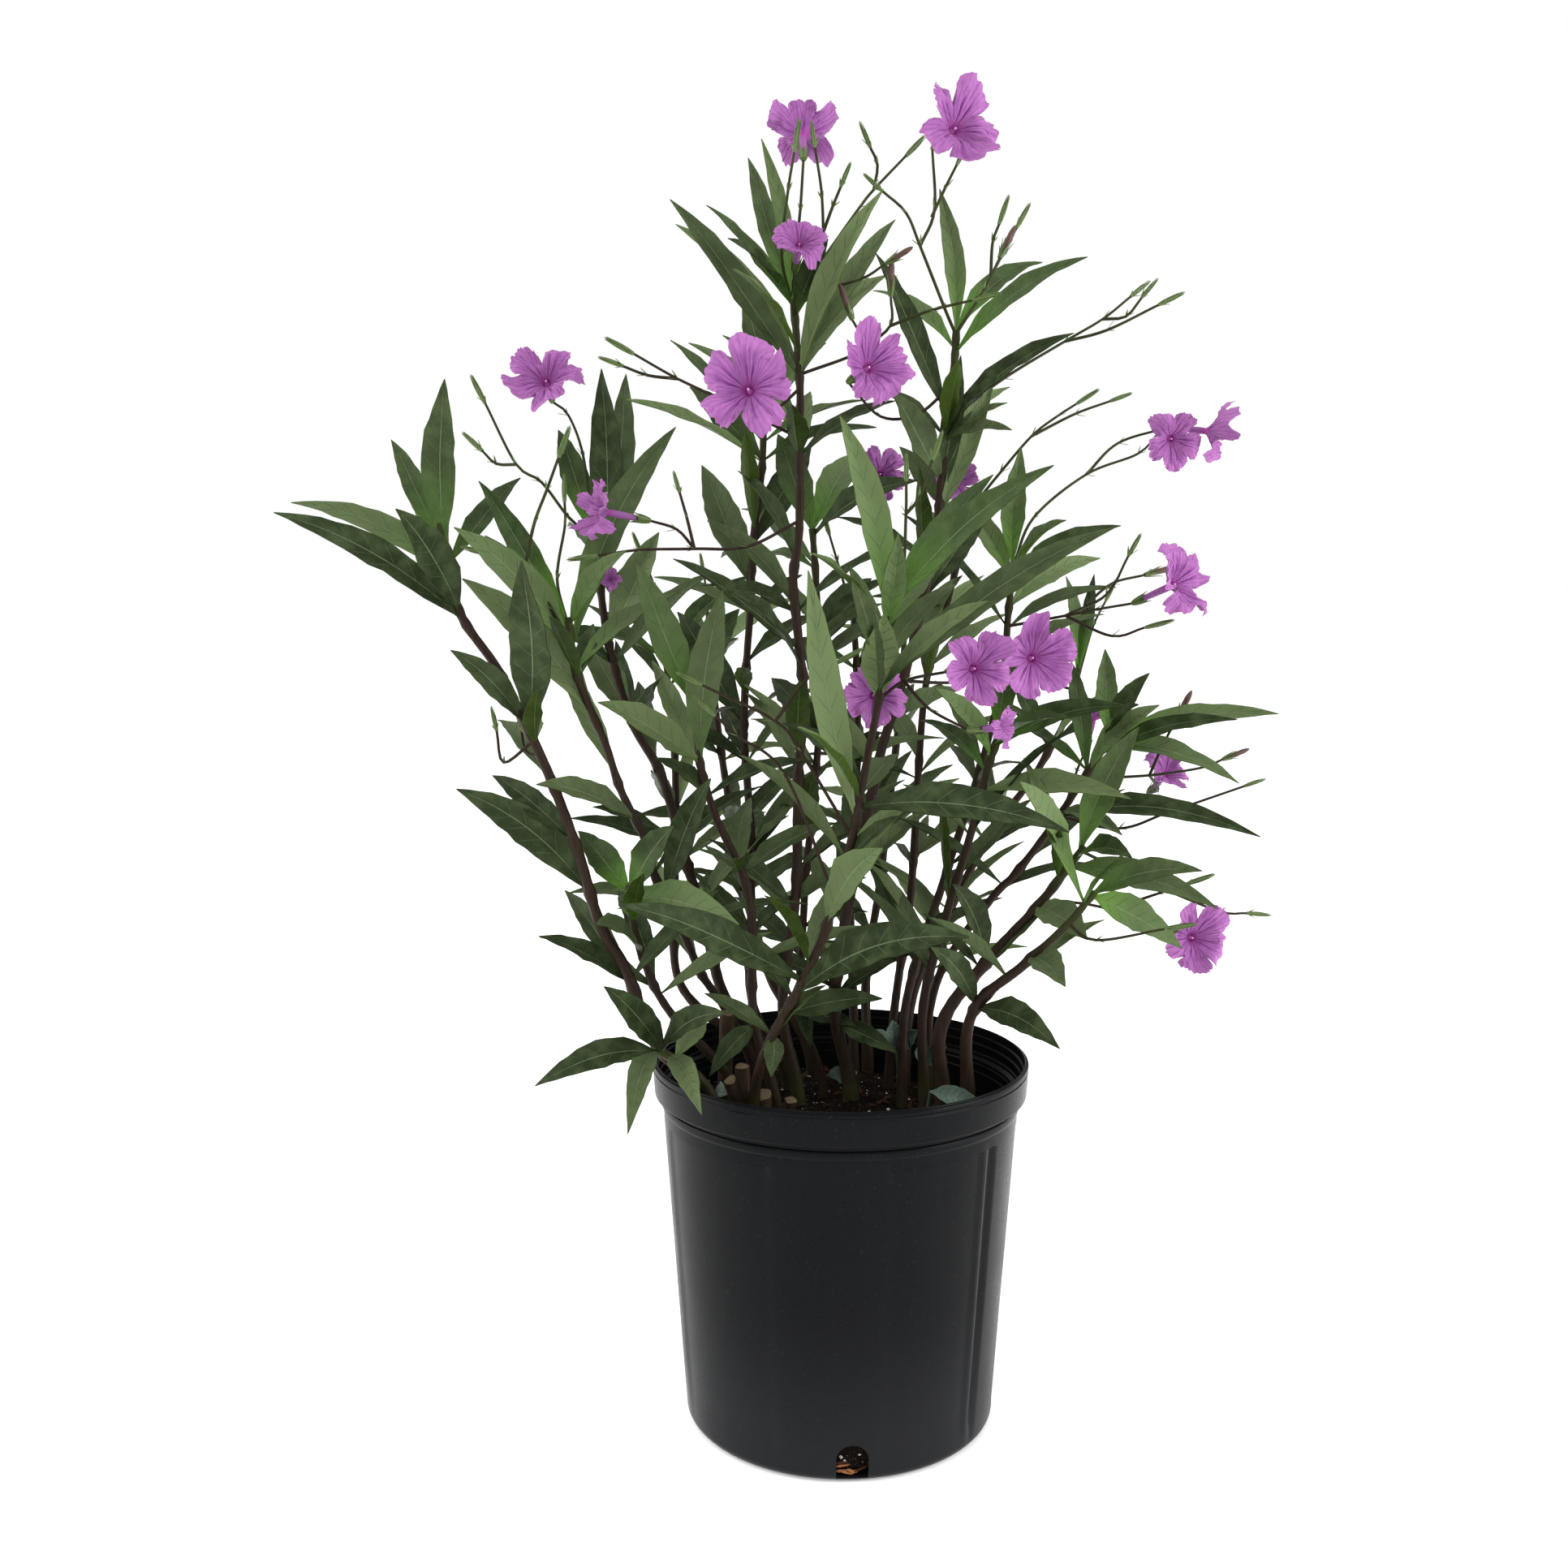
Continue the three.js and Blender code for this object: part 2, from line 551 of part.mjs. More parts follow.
// Space that is taken: cells of a grid, each with the node whose surface is in or beside it.
// Surfaces are sampled more finely than the cells are wide, so what passes is clear by 0.3 mm or more.
const CELL = 4;
const CELLS_ACROSS = 1024;
const SPACING = 2.5;
const SHARED = "shared";
const RIM_SPACE = 8;
const OWN_ROOT = 0.15;
const taken = new Map();

function cellOf(point) {
  return [point.x, point.y, point.z].map((value) => Math.floor(value / CELL) + CELLS_ACROSS / 2);
}

function keyOf([i, j, k]) {
  return (i * CELLS_ACROSS + j) * CELLS_ACROSS + k;
}

function take(points, owner) {
  for (const point of points) {
    const [i, j, k] = cellOf(point);
    for (let n = 0; n < 27; n++) {
      const beside = [i - 1 + (n % 3), j - 1 + (Math.floor(n / 3) % 3), k - 1 + Math.floor(n / 9)];
      const key = keyOf(beside);
      const before = taken.get(key);
      taken.set(key, before === undefined || before === owner ? owner : SHARED);
    }
  }
}

// Points spread over the skin between rings, no further apart than the spacing.
function spread(rings) {
  const found = [];
  for (let i = 1; i < rings.length; i++) {
    const length = rings[i - 1][0].distanceTo(rings[i][0]);
    const steps = Math.max(1, Math.ceil(length / SPACING));
    for (let s = 0; s < steps; s++) {
      const ring = rings[i - 1].map((point, j) => point.clone().lerp(rings[i][j], s / steps));
      ring.forEach((point, j) => {
        const next = ring[(j + 1) % ring.length];
        const parts = Math.max(1, Math.ceil(point.distanceTo(next) / SPACING));
        for (let p = 0; p < parts; p++) found.push(point.clone().lerp(next, p / parts));
      });
    }
  }
  return found;
}

// True where a point would be in the pot, or nearly touch its rim.
function inPot(point) {
  const radius = Math.hypot(point.x, point.y);
  return radius < POT.rimRadius + RIM_SPACE && point.z < POT.height + RIM_SPACE;
}

// The rings of a leaf: a blade along an arched midrib, folded at the midrib and waved at its edges.
// Each ring is right edge, midrib above, left edge, midrib below.
function leafRings(leaf) {
  const { root, tip, width, facing, form, waves } = leaf;
  const length = root.distanceTo(tip);
  const bend = root.clone().lerp(tip, 0.5).addScaledVector(UP, LEAF.arch * length);
  const midrib = new THREE.QuadraticBezierCurve3(root, bend, tip);
  const across = facing.clone().cross(tip.clone().sub(root)).normalize();
  const ring = (share, wide, thick, lifts) => {
    const middle = midrib.getPoint(share);
    const way = midrib.getTangent(share);
    const side = across.clone().addScaledVector(way, -across.dot(way)).normalize();
    const over = way.clone().cross(side);
    const edge = (hand, lift) =>
      middle.clone().addScaledVector(side, (hand * wide) / 2).addScaledVector(over, lift);
    return [
      edge(1, lifts[0]),
      middle.clone().addScaledVector(over, thick / 2),
      edge(-1, lifts[1]),
      middle.clone().addScaledVector(over, -thick / 2),
    ];
  };
  const rings = [[root]];
  form.along.forEach((share, i) => {
    const wide = width * form.wide[i];
    const thick = i === 0 ? LEAF.stalkThick : LEAF.thick;
    const lifts = [0, 1].map((hand) => wide * (LEAF.fold + LEAF.wave * waves[2 * i + hand]));
    rings.push(ring(share, wide, thick, lifts));
  });
  rings.push([tip]);
  return rings;
}

function leafCover(rings) {
  const four = (ring) => (ring.length === 1 ? Array(4).fill(ring[0]) : ring);
  return [...spread(rings.map(four)), rings.at(-1)[0]];
}

// True where a leaf's skin is clear of every other node and, away from its root, of its own.
function leafIsClear(cover, owner, strict) {
  return cover.every((point, n) => {
    if (inPot(point)) return false;
    const holder = taken.get(keyOf(cellOf(point)));
    if (holder === undefined) return true;
    return holder === owner && (!strict || n < cover.length * OWN_ROOT);
  });
}

// A leaf on its stem, moved a little at its tip until it is clear, first in depth.
function placeLeaf(leaf, owner, moves, strict) {
  for (const move of moves) {
    const rings = leafRings({ ...leaf, tip: leaf.tip.clone().add(move) });
    const cover = leafCover(rings);
    if (leafIsClear(cover, owner, strict)) {
      take(cover, owner);
      return rings;
    }
  }
  return null;
}

// Moves to try for a leaf's tip: sideways and up by little, and further towards the back or front.
function tipMoves(depths, sways) {
  const moves = [];
  for (const sway of sways) {
    for (const lift of sways) {
      for (const depth of depths) moves.push(new THREE.Vector3(sway, depth, lift));
    }
  }
  return moves.sort((a, b) => a.length() - b.length());
}

// The pot's wall at a height, on its outer face.
function potRadius(height) {
  const share = (height - POT.heel) / (POT.height - POT.lipHeight - POT.heel);
  return POT.footRadius + (POT.shoulderRadius - POT.footRadius) * share;
}

// The pot: a tapered wall with a rounded heel, a small bead, a deep lip with a rolled edge, and a floor.
function potSolid() {
  const lipFoot = POT.height - POT.lipHeight;
  const underLip = POT.shoulderRadius - POT.groove;
  const onBead = POT.shoulderRadius + POT.bead;
  const inLip = POT.rimRadius - POT.lipWall;
  const profile = [
    [0, 0],
    [POT.footRadius - POT.heel, 0],
    [POT.footRadius - POT.heel * 0.3, POT.heel * 0.3],
    [POT.footRadius, POT.heel],
    [underLip - POT.groove, lipFoot - POT.beadFoot - 1],
    [onBead, lipFoot - POT.beadFoot],
    [onBead, lipFoot - POT.beadHead],
    [underLip, lipFoot - POT.beadHead + 1],
    [underLip, lipFoot],
    [POT.rimRadius - POT.lipFlare, lipFoot + POT.groove],
    [POT.rimRadius, POT.height - 2 * POT.edgeRoll],
    [POT.rimRadius - POT.edgeRoll, POT.height],
    [inLip, POT.height - POT.edgeRoll],
    [inLip - POT.lipFlare, lipFoot + POT.lipWall],
    [underLip - POT.wall, lipFoot],
    [POT.footRadius - POT.wall, POT.heel],
    [POT.footRadius - POT.heel, POT.floor],
    [0, POT.floor],
  ];
  const points = profile.map(([radius, height]) => new THREE.Vector2(radius, height));
  const turned = new THREE.LatheGeometry(points, POT.segments).rotateX(Math.PI / 2);
  return solid(turned).subtract(wasm.Manifold.union(drainHoles()));
}

// The arched holes low in the pot's wall.
function drainHoles() {
  const half = DRAIN.width / 2;
  const arch = new THREE.Shape();
  arch.moveTo(-half, 0).lineTo(half, 0).lineTo(half, DRAIN.height - half);
  arch.absarc(0, DRAIN.height - half, half, 0, Math.PI, false);
  const depth = POT.wall * 12;
  return Array.from({ length: DRAIN.count }, (_, i) => {
    const cutter = new THREE.ExtrudeGeometry(arch, { depth, bevelEnabled: false, curveSegments: 4 });
    cutter.rotateX(Math.PI / 2).translate(0, depth / 2 - POT.footRadius, DRAIN.sill);
    const turn = THREE.MathUtils.degToRad(DRAIN.turn) + (i * 2 * Math.PI) / DRAIN.count;
    return solid(cutter.rotateZ(turn));
  });
}

// The height of the soil's surface, heaped to the left and sunk at the wall, with low bumps.
function soilHeight(x, y) {
  const heap = -HEAP.tilt * x - HEAP.fall * (x * x + y * y);
  return SOIL.level + heap + HEAP.bumps * Math.sin(x / HEAP.bumpX) * Math.cos(y / HEAP.bumpY);
}

function soilSolid() {
  const low = POT.floor + SOIL.clearance;
  const flat = Math.cos(Math.PI / POT.segments);
  const inner = (height) => (potRadius(height) - POT.wall - POT.groove) * flat - SOIL.clearance;
  const [alongX, alongY] = [vec([1, 0, 0]), vec([0, 1, 0])];
  const circle = (radius, height) =>
    ringAround(vec([0, 0, height]), alongX, alongY, radius, SOIL.segments);
  const surface = SOIL.rings.map((share) => {
    const ring = circle(SOIL.edge * share, 0);
    for (const point of ring) point.z = soilHeight(point.x, point.y);
    return ring;
  });
  const wall = [
    circle(inner(POT.heel) - POT.heel, low),
    circle(inner(POT.heel), POT.heel + 1),
    circle(inner(SOIL.brim), SOIL.brim),
  ];
  const heap = solid(skin([...wall, ...surface, [vec([0, 0, soilHeight(0, 0)])]]));
  return heap.subtract(wasm.Manifold.union(Object.values(STEMS).map(footHole)));
}

function footHole(stem) {
  const [x, y] = stem.foot;
  const ends = [vec([x, y, FOOT.floor]), vec([x, y, FOOT.mouth])];
  const radius = STEM.foot + FOOT.clearance;
  return solid(skin(tubeRings(ends, [radius, radius], STEM.sides)));
}

// A stem's axis from the bottom of its foot to its top.
function stemLine(stem) {
  const [x, y] = stem.foot;
  const foot = [vec([x, y, FOOT.floor + FOOT.lift]), vec([x, y, FOOT.top])];
  return [...foot, ...stem.route.map(vec)];
}

function stemRings(line) {
  const radii = line.map((_, i) => {
    const share = Math.max(0, i - 1) / (line.length - 2);
    return STEM.foot + (STEM.tip - STEM.foot) * share;
  });
  return tubeRings(line, radii, STEM.sides);
}

// Where a bloom's calyx starts, and the way that the bloom faces.
function calyxPlace(bloom) {
  const way = vec(bloom.faces).normalize();
  const back = vec(bloom.mouth).addScaledVector(way, -(bloom.tube + CALYX.gap + CALYX.length));
  return { way, back };
}

// A flower stalk that swells at its end into a bud, a pod or the calyx of a bloom.
function stalkRings([ending, ...path]) {
  const points = path.map(vec);
  const bloom = BLOOMS[ending];
  if (bloom) points.push(calyxPlace(bloom).back);
  const radii = points.map((_, i) => STALK.root + ((STALK.tip - STALK.root) * i) / (points.length - 1));
  const end = points.at(-1);
  const way = bloom ? calyxPlace(bloom).way : end.clone().sub(points.at(-2)).normalize();
  const head = bloom ? CALYX : { bud: BUD, pod: POD }[ending];
  head.radii.forEach((radius, i) => {
    const share = (i + 1) / head.radii.length;
    points.push(end.clone().addScaledVector(way, share * head.length));
    radii.push(radius);
  });
  return tubeRings(points, radii, STALK.sides);
}

// A bloom: a slim tube that opens into a funnel, with five broad lobes that wave at their edges.
function bloomRings(bloom, seed) {
  const draw = drawsFrom(seed);
  const { radius, tube } = bloom;
  const way = vec(bloom.faces).normalize();
  const mouth = vec(bloom.mouth);
  const level = Math.abs(way.z) > 0.9 ? vec([1, 0, 0]) : UP;
  const across = level.clone().cross(way).normalize();
  const over = way.clone().cross(across);
  const turn = (bloom.turn * Math.PI) / 180;
  const at = (angle, out, height) =>
    mouth
      .clone()
      .addScaledVector(across, out * Math.cos(angle + turn))
      .addScaledVector(over, out * Math.sin(angle + turn))
      .addScaledVector(way, height);
  const ring = (count, out, height, aside = () => 0) =>
    Array.from({ length: count }, (_, i) =>
      at((2 * Math.PI * i) / count + aside(i), out(i), height(i)),
    );
  const even = (count, out, height) => ring(count, () => out, () => height);
  const waves = Array.from({ length: 20 }, () => (draw() - 0.5) * LOBE.wave * radius);
  const edge = ring(
    20,
    (i) => radius * LOBE.out[i % 4],
    (i) => radius * LOBE.lift[i % 4] + (i % 4 === 2 ? 0 : waves[i]),
    (i) => LOBE.aside[i % 4],
  );
  const { neck, flare, limb, throat } = FUNNEL;
  const half = (i) => radius * limb.out[i % 2];
  return [
    even(5, FUNNEL.foot, -tube),
    even(5, neck, -tube / 2),
    even(5, radius * flare.out, -radius * flare.back),
    ring(10, half, () => -radius * limb.back - limb.thick),
    edge,
    ring(10, half, () => -radius * limb.back),
    even(5, radius * throat.out, -radius * throat.back),
    [at(0, 0, -radius * throat.deep)],
  ];
}

// Points over a bloom's lobes and along its tube.
function bloomCover(bloom) {
  const way = vec(bloom.faces).normalize();
  const mouth = vec(bloom.mouth);
  const across = (Math.abs(way.z) > 0.9 ? vec([1, 0, 0]) : UP.clone()).cross(way).normalize();
  const over = way.clone().cross(across);
  const found = [];
  for (let height = 0; height > -bloom.tube; height -= SPACING) {
    found.push(mouth.clone().addScaledVector(way, height));
  }
  for (let out = SPACING; out < bloom.radius + SPACING; out += SPACING) {
    const sides = Math.ceil((2 * Math.PI * out) / SPACING);
    const depth = FUNNEL.slope * Math.max(0, bloom.radius - out);
    const middle = mouth.clone().addScaledVector(way, -depth);
    found.push(...ringAround(middle, across, over, out, sides));
  }
  return found;
}

// The way that a leaf's upper face looks, and the moves that its tip may make to be clear.
const HAND_FACING = new THREE.Vector3(0, -0.85, 0.55);
const PAIR_FACING = new THREE.Vector3(0, -0.25, 1);
const HAND_MOVES = tipMoves([0, -14, 14, -28, 28, -42, 42], [0, -9, 9]);
const PAIR_MOVES = tipMoves([0, -18, 18, -36, 36], [0, -18, 18]);

// A leaf's root, a little past the stem's axis on the far side from the leaf.
function rootOpposite(axis, tip) {
  return axis.clone().addScaledVector(tip.clone().sub(axis).setZ(0).normalize(), -LEAF.rootDepth);
}

function edgeWaves(draw) {
  return Array.from({ length: 8 }, () => 2 * draw() - 1);
}

// A leaf placed by hand. It is seen a little from the side, so it is wider than it looks.
function handLeaf(line, [height, x, y, z, width], draw) {
  const tip = vec([x, y, z]);
  return {
    root: rootOpposite(pointAtHeight(line, height + 4 * (draw() - 0.5)), tip),
    tip,
    width: width * HAND.widening,
    facing: HAND_FACING,
    form: width > HAND.large ? LARGE_LEAF : SMALL_LEAF,
    waves: edgeWaves(draw),
  };
}

// Leaves in opposite pairs, each pair turned by about a quarter from the one below. The front of a
// stem keeps its leaves placed by hand, and only a stem at the back has pairs all round.
function leafPairs(stem, line, draw) {
  const top = line.at(-1).z;
  const atBack = stem.foot[1] > PAIRS.backFrom;
  const leaves = [];
  let heading = 2 * Math.PI * draw();
  for (let height = PAIRS.lowest; height < top - PAIRS.below; height += PAIRS.apart) {
    heading += Math.PI / 2 + PAIRS.stray * (draw() - 0.5);
    for (const angle of [heading, heading + Math.PI]) {
      const length = PAIRS.length + PAIRS.lengthSpread * draw();
      const rise = PAIRS.rise + PAIRS.riseSpread * draw();
      const waves = edgeWaves(draw);
      if (!atBack && Math.sin(angle) < -PAIRS.stray) continue;
      const axis = pointAtHeight(line, height + PAIRS.jitter * draw());
      const out = length * Math.cos(rise);
      const reach = vec([out * Math.cos(angle), out * Math.sin(angle), length * Math.sin(rise)]);
      const tip = axis.clone().add(reach);
      const width = PAIRS.width + PAIRS.widthSpread * draw();
      const root = rootOpposite(axis, tip);
      leaves.push({ root, tip, width, facing: PAIR_FACING, form: SMALL_LEAF, waves });
    }
  }
  return leaves;
}

// Every stem with what grows on it, as lists of rings under the stem's name. Stems, stalks and
// blooms take their space first, then the leaves placed by hand, then the leaves in pairs.
function growPlant() {
  const names = Object.keys(STEMS);
  const grown = {};
  for (const name of names) {
    const line = stemLine(STEMS[name]);
    const rings = stemRings(line);
    const stalks = STEMS[name].stalks.map(stalkRings);
    take([rings, ...stalks].flatMap(spread), name);
    grown[name] = { line, bodies: [rings, ...stalks] };
  }
  for (const [name, bloom] of Object.entries(BLOOMS)) take(bloomCover(bloom), name);
  names.forEach((name, i) => {
    const draw = drawsFrom(SEEDS.hand + i);
    for (const row of STEMS[name].leaves) {
      const leaf = handLeaf(grown[name].line, row, draw);
      const rings =
        placeLeaf(leaf, name, HAND_MOVES, true) || placeLeaf(leaf, name, HAND_MOVES, false);
      if (rings) grown[name].bodies.push(rings);
    }
  });
  names.forEach((name, i) => {
    const draw = drawsFrom(SEEDS.pairs + i);
    for (const leaf of leafPairs(STEMS[name], grown[name].line, draw)) {
      const rings = placeLeaf(leaf, name, PAIR_MOVES, true);
      if (rings) grown[name].bodies.push(rings);
    }
  });
  return grown;
}

const plant = new THREE.Group();
plant.add(mesh("pot", potSolid(), COLOURS.pot));
plant.add(mesh("soil", soilSolid(), COLOURS.soil));
for (const [name, { bodies }] of Object.entries(growPlant())) {
  const joined = wasm.Manifold.union(bodies.map((rings) => solid(skin(rings))));
  plant.add(mesh(`stem_${name}`, wholeBody(joined), COLOURS.foliage));
}
Object.entries(BLOOMS).forEach(([name, bloom], i) => {
  plant.add(mesh(name, solid(skin(bloomRings(bloom, SEEDS.blooms + i))), COLOURS.petal));
});

export default plant;
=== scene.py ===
# %% [markdown]
# # A potted flowering plant, made around its CAD frame
# The real object is a Mexican petunia in a black nursery pot: thin purple-brown stems, long narrow
# leaves in opposite pairs, wiry flower stalks and violet funnel blooms. The CAD says where every
# stem, leaf and bloom is. This lesson gives each of them its real surface without moving it.

import math
from collections import namedtuple

import bpy
import numpy as np
from mathutils import Matrix, Vector, noise
from mathutils.kdtree import KDTree


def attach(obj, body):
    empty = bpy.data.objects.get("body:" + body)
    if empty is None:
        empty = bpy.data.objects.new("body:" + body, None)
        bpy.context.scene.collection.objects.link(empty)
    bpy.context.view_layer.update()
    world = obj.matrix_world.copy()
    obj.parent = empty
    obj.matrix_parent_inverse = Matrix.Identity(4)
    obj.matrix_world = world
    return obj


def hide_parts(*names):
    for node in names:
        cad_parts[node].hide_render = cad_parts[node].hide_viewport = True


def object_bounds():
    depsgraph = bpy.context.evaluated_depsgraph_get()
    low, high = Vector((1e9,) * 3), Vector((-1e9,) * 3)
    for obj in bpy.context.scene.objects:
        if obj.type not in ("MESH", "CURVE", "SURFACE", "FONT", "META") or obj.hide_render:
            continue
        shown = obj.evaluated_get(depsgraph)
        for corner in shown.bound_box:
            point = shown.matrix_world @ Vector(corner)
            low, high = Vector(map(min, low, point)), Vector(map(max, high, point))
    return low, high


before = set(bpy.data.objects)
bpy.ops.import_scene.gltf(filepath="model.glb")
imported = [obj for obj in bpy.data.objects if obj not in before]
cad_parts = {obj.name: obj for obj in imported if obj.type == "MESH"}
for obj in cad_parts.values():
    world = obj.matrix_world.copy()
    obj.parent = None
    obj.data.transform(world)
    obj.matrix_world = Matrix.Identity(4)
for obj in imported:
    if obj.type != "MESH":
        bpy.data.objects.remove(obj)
cad_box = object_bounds()
MM = 0.001
UP = Vector((0, 0, 1))
# Blender's vector noise starts somewhere else on each run, unless it is given a seed.
noise.seed_set(1)
print("CAD nodes:", len(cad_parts), "box:", [list(corner) for corner in cad_box])

# %% [markdown]
# ## The studio
# The photograph has a white ground with no horizon, and the light is soft, from above and from both
# sides, so the pot is dark in front and paler at its edges. A white floor under wide area lights
# gives that. The camera is where lines through the pot's rim and foot put the photographer.

# %% Camera, floor and lights
PHOTO_WIDTH = 1932
FOCAL_PIXELS = 2000
CAMERA_PLACE = (-0.0405, -1.143, 0.593)
CAMERA_PITCH = math.radians(6.56)
SENSOR = 36


def alone(made=None):
    """Deselects everything, because an operator acts on all that is selected, and picks one piece."""
    bpy.ops.object.select_all(action="DESELECT")
    if made:
        made.select_set(True)
        bpy.context.view_layer.objects.active = made


bpy.ops.object.camera_add(location=CAMERA_PLACE, rotation=(math.pi / 2 - CAMERA_PITCH, 0, 0))
camera = bpy.context.object
camera.data.sensor_width = SENSOR
camera.data.lens = SENSOR * FOCAL_PIXELS / PHOTO_WIDTH
bpy.context.scene.camera = camera

alone()
bpy.ops.mesh.primitive_plane_add(size=200)
floor = bpy.context.object
floor.name = "floor"

# Each light: where it stands, its size across and up, its power in watts.
LIGHTS = {
    "left": [(-2.2, 0.1, 1.1), (1.5, 2.2), 36],
    "right": [(2.2, -0.8, 1.1), (1.5, 2.2), 50],
    "front": [(-0.8, -2.6, 2.2), (2.2, 1.4), 3],
    "back": [(0.3, 2.2, 1.8), (2.6, 1.6), 10],
}
AIM = Vector((0, 0, 0.45))
SKYLIGHT, SKYLIGHT_SOFTNESS = 2.7, math.radians(110)
SKYLIGHT_TILT = (math.radians(18), math.radians(-12), 0)
for name, (place, size, power) in LIGHTS.items():
    alone()
    bpy.ops.object.light_add(type="AREA", location=place)
    light = bpy.context.object
    light.name = "light_" + name
    light.data.shape = "RECTANGLE"
    light.data.size, light.data.size_y = size
    light.data.energy = power
    light.rotation_euler = (AIM - Vector(place)).to_track_quat("-Z", "Y").to_euler()
alone()
bpy.ops.object.light_add(type="SUN", location=(0, 0, 3), rotation=SKYLIGHT_TILT)
sun = bpy.context.object
sun.name = "light_sky"
sun.data.energy = SKYLIGHT
sun.data.angle = SKYLIGHT_SOFTNESS
print("camera lens:", round(camera.data.lens, 2), "mm, lights:", len(LIGHTS) + 1)

# %% [markdown]
# The camera sees pure white behind the plant, but the world lights it more weakly than that, so that
# the black pot doesn't turn grey. Colours are shown as they are, with no film curve.

# %% World
AMBIENT = 0.3


def add_node(tree, kind, inputs=None, **settings):
    """Adds a node, with its settings, and its inputs given as values or as sockets to link."""
    made = tree.nodes.new(kind)
    for key, value in settings.items():
        setattr(made, key, value)
    for key, value in (inputs or {}).items():
        if isinstance(value, bpy.types.NodeSocket):
            tree.links.new(value, made.inputs[key])
        else:
            made.inputs[key].default_value = value
    return made


world = bpy.data.worlds.new("studio")
bpy.context.scene.world = world
world.use_nodes = True
tree = world.node_tree
sky = tree.nodes["Background"]
sky.inputs["Color"].default_value = (1, 1, 1, 1)
seen = add_node(tree, "ShaderNodeLightPath").outputs["Is Camera Ray"]
strength = add_node(tree, "ShaderNodeMapRange", {"Value": seen, "To Min": AMBIENT, "To Max": 1.0})
tree.links.new(strength.outputs["Result"], sky.inputs["Strength"])
bpy.context.scene.view_settings.view_transform = "Standard"
print("ambient light:", AMBIENT)

# %% [markdown]
# ## Finishes
# Every finish is one Principled shader whose colour, roughness and bump come from nodes. A few
# helpers keep that short: a noise, a mix of two colours, and sums on sockets. Patterns that belong
# to the whole object read Object coordinates, and veins read the UV map.

# %% Helpers for finishes


def linear(hex_colour):
    """A colour such as 3c5236 as Blender's linear red, green, blue and alpha."""
    parts = [int(hex_colour[i : i + 2], 16) / 255 for i in (0, 2, 4)]
    return [p / 12.92 if p < 0.04045 else ((p + 0.055) / 1.055) ** 2.4 for p in parts] + [1]


def start_finish(name, **sockets):
    """A new material, with values set on its shader's own sockets."""
    made = bpy.data.materials.new(name)
    made.use_nodes = True
    shader = made.node_tree.nodes["Principled BSDF"]
    for key, value in sockets.items():
        shader.inputs[key.replace("_", " ")].default_value = value
    return made, made.node_tree, shader


def feed(shader, **sockets):
    """Links what nodes give to a shader's sockets."""
    for key, value in sockets.items():
        value.id_data.links.new(value, shader.inputs[key.replace("_", " ")])


def maths(operation, *values):
    """One Math node on sockets and numbers, of which the first is a socket. It goes in that one's tree."""
    inputs = dict(enumerate(values))
    return add_node(values[0].id_data, "ShaderNodeMath", inputs, operation=operation).outputs[0]


def times(*values):
    return maths("MULTIPLY", *values)


def plus(*values):
    return maths("ADD", *values)


def apart(*values):
    """How far two values are apart."""
    return maths("ABSOLUTE", maths("SUBTRACT", *values))


def fade(value, low, high, at_low=0.0, at_high=1.0):
    """A smooth step from one value to another."""
    inputs = {"Value": value, "From Min": low, "From Max": high, "To Min": at_low, "To Max": at_high}
    made = add_node(value.id_data, "ShaderNodeMapRange", inputs, interpolation_type="SMOOTHSTEP")
    return made.outputs["Result"]


def mix(share, *colours):
    """A mix of two colours, each a socket or a hex colour, by a share that is a socket."""
    first, second = (linear(c) if isinstance(c, str) else c for c in colours)
    made = add_node(share.id_data, "ShaderNodeMix", {0: share, 6: first, 7: second}, data_type="RGBA")
    return made.outputs[2]


def parts_of(vector):
    """The x, y and z of a vector."""
    return add_node(vector.id_data, "ShaderNodeSeparateXYZ", {0: vector}).outputs[:]


def bumps(shader, height, distance):
    made = add_node(height.id_data, "ShaderNodeBump", {"Height": height, "Distance": distance})
    feed(shader, Normal=made.outputs[0])


def object_place(tree):
    return add_node(tree, "ShaderNodeTexCoord").outputs["Object"]


def grain(tree, scale, detail=3.0, stretch=(1, 1, 1)):
    """Noise in Object coordinates, stretched along the axes."""
    place = add_node(tree, "ShaderNodeMapping", {"Vector": object_place(tree), "Scale": stretch})
    inputs = {"Vector": place.outputs[0], "Scale": scale, "Detail": detail}
    return add_node(tree, "ShaderNodeTexNoise", inputs).outputs["Fac"]


def kept_number(tree, name):
    """A number kept on the mesh under a name."""
    return add_node(tree, "ShaderNodeAttribute", attribute_name=name).outputs["Fac"]


def two_tone(name, dark, light, pattern, bump=0.0, **sockets):
    """A finish of two colours mixed by one noise, which also lifts the surface."""
    made, tree, shader = start_finish(name, **sockets)
    spots = grain(tree, *pattern)
    feed(shader, Base_Color=mix(spots, dark, light))
    if bump:
        bumps(shader, spots, bump)
    return made


glow = {"Emission_Color": (1, 1, 1, 1), "Emission_Strength": 0.22}
floor.data.materials.append(two_tone("backdrop_paper", "f9f9f9", "fdfdfd", [3], Roughness=0.9, **glow))
print("helpers ready, floor finished")

# %% [markdown]
# ## The pot
# It is blown or moulded black plastic about 2 mm thick: a tapered wall with a rounded heel, a bead, and
# a deep lip with two ridges on top. Inside, the wall steps in by ledges, which catch the light as thin
# arcs. A round thing is best turned from its profile, as on a lathe: one vertex is extruded along the
# profile and the line is spun. The CAD's profile is repeated here with finer steps.

# %% Helpers that turn a profile and finish a piece


def active_mesh(name):
    made = bpy.context.object
    made.name = made.data.name = name
    return made


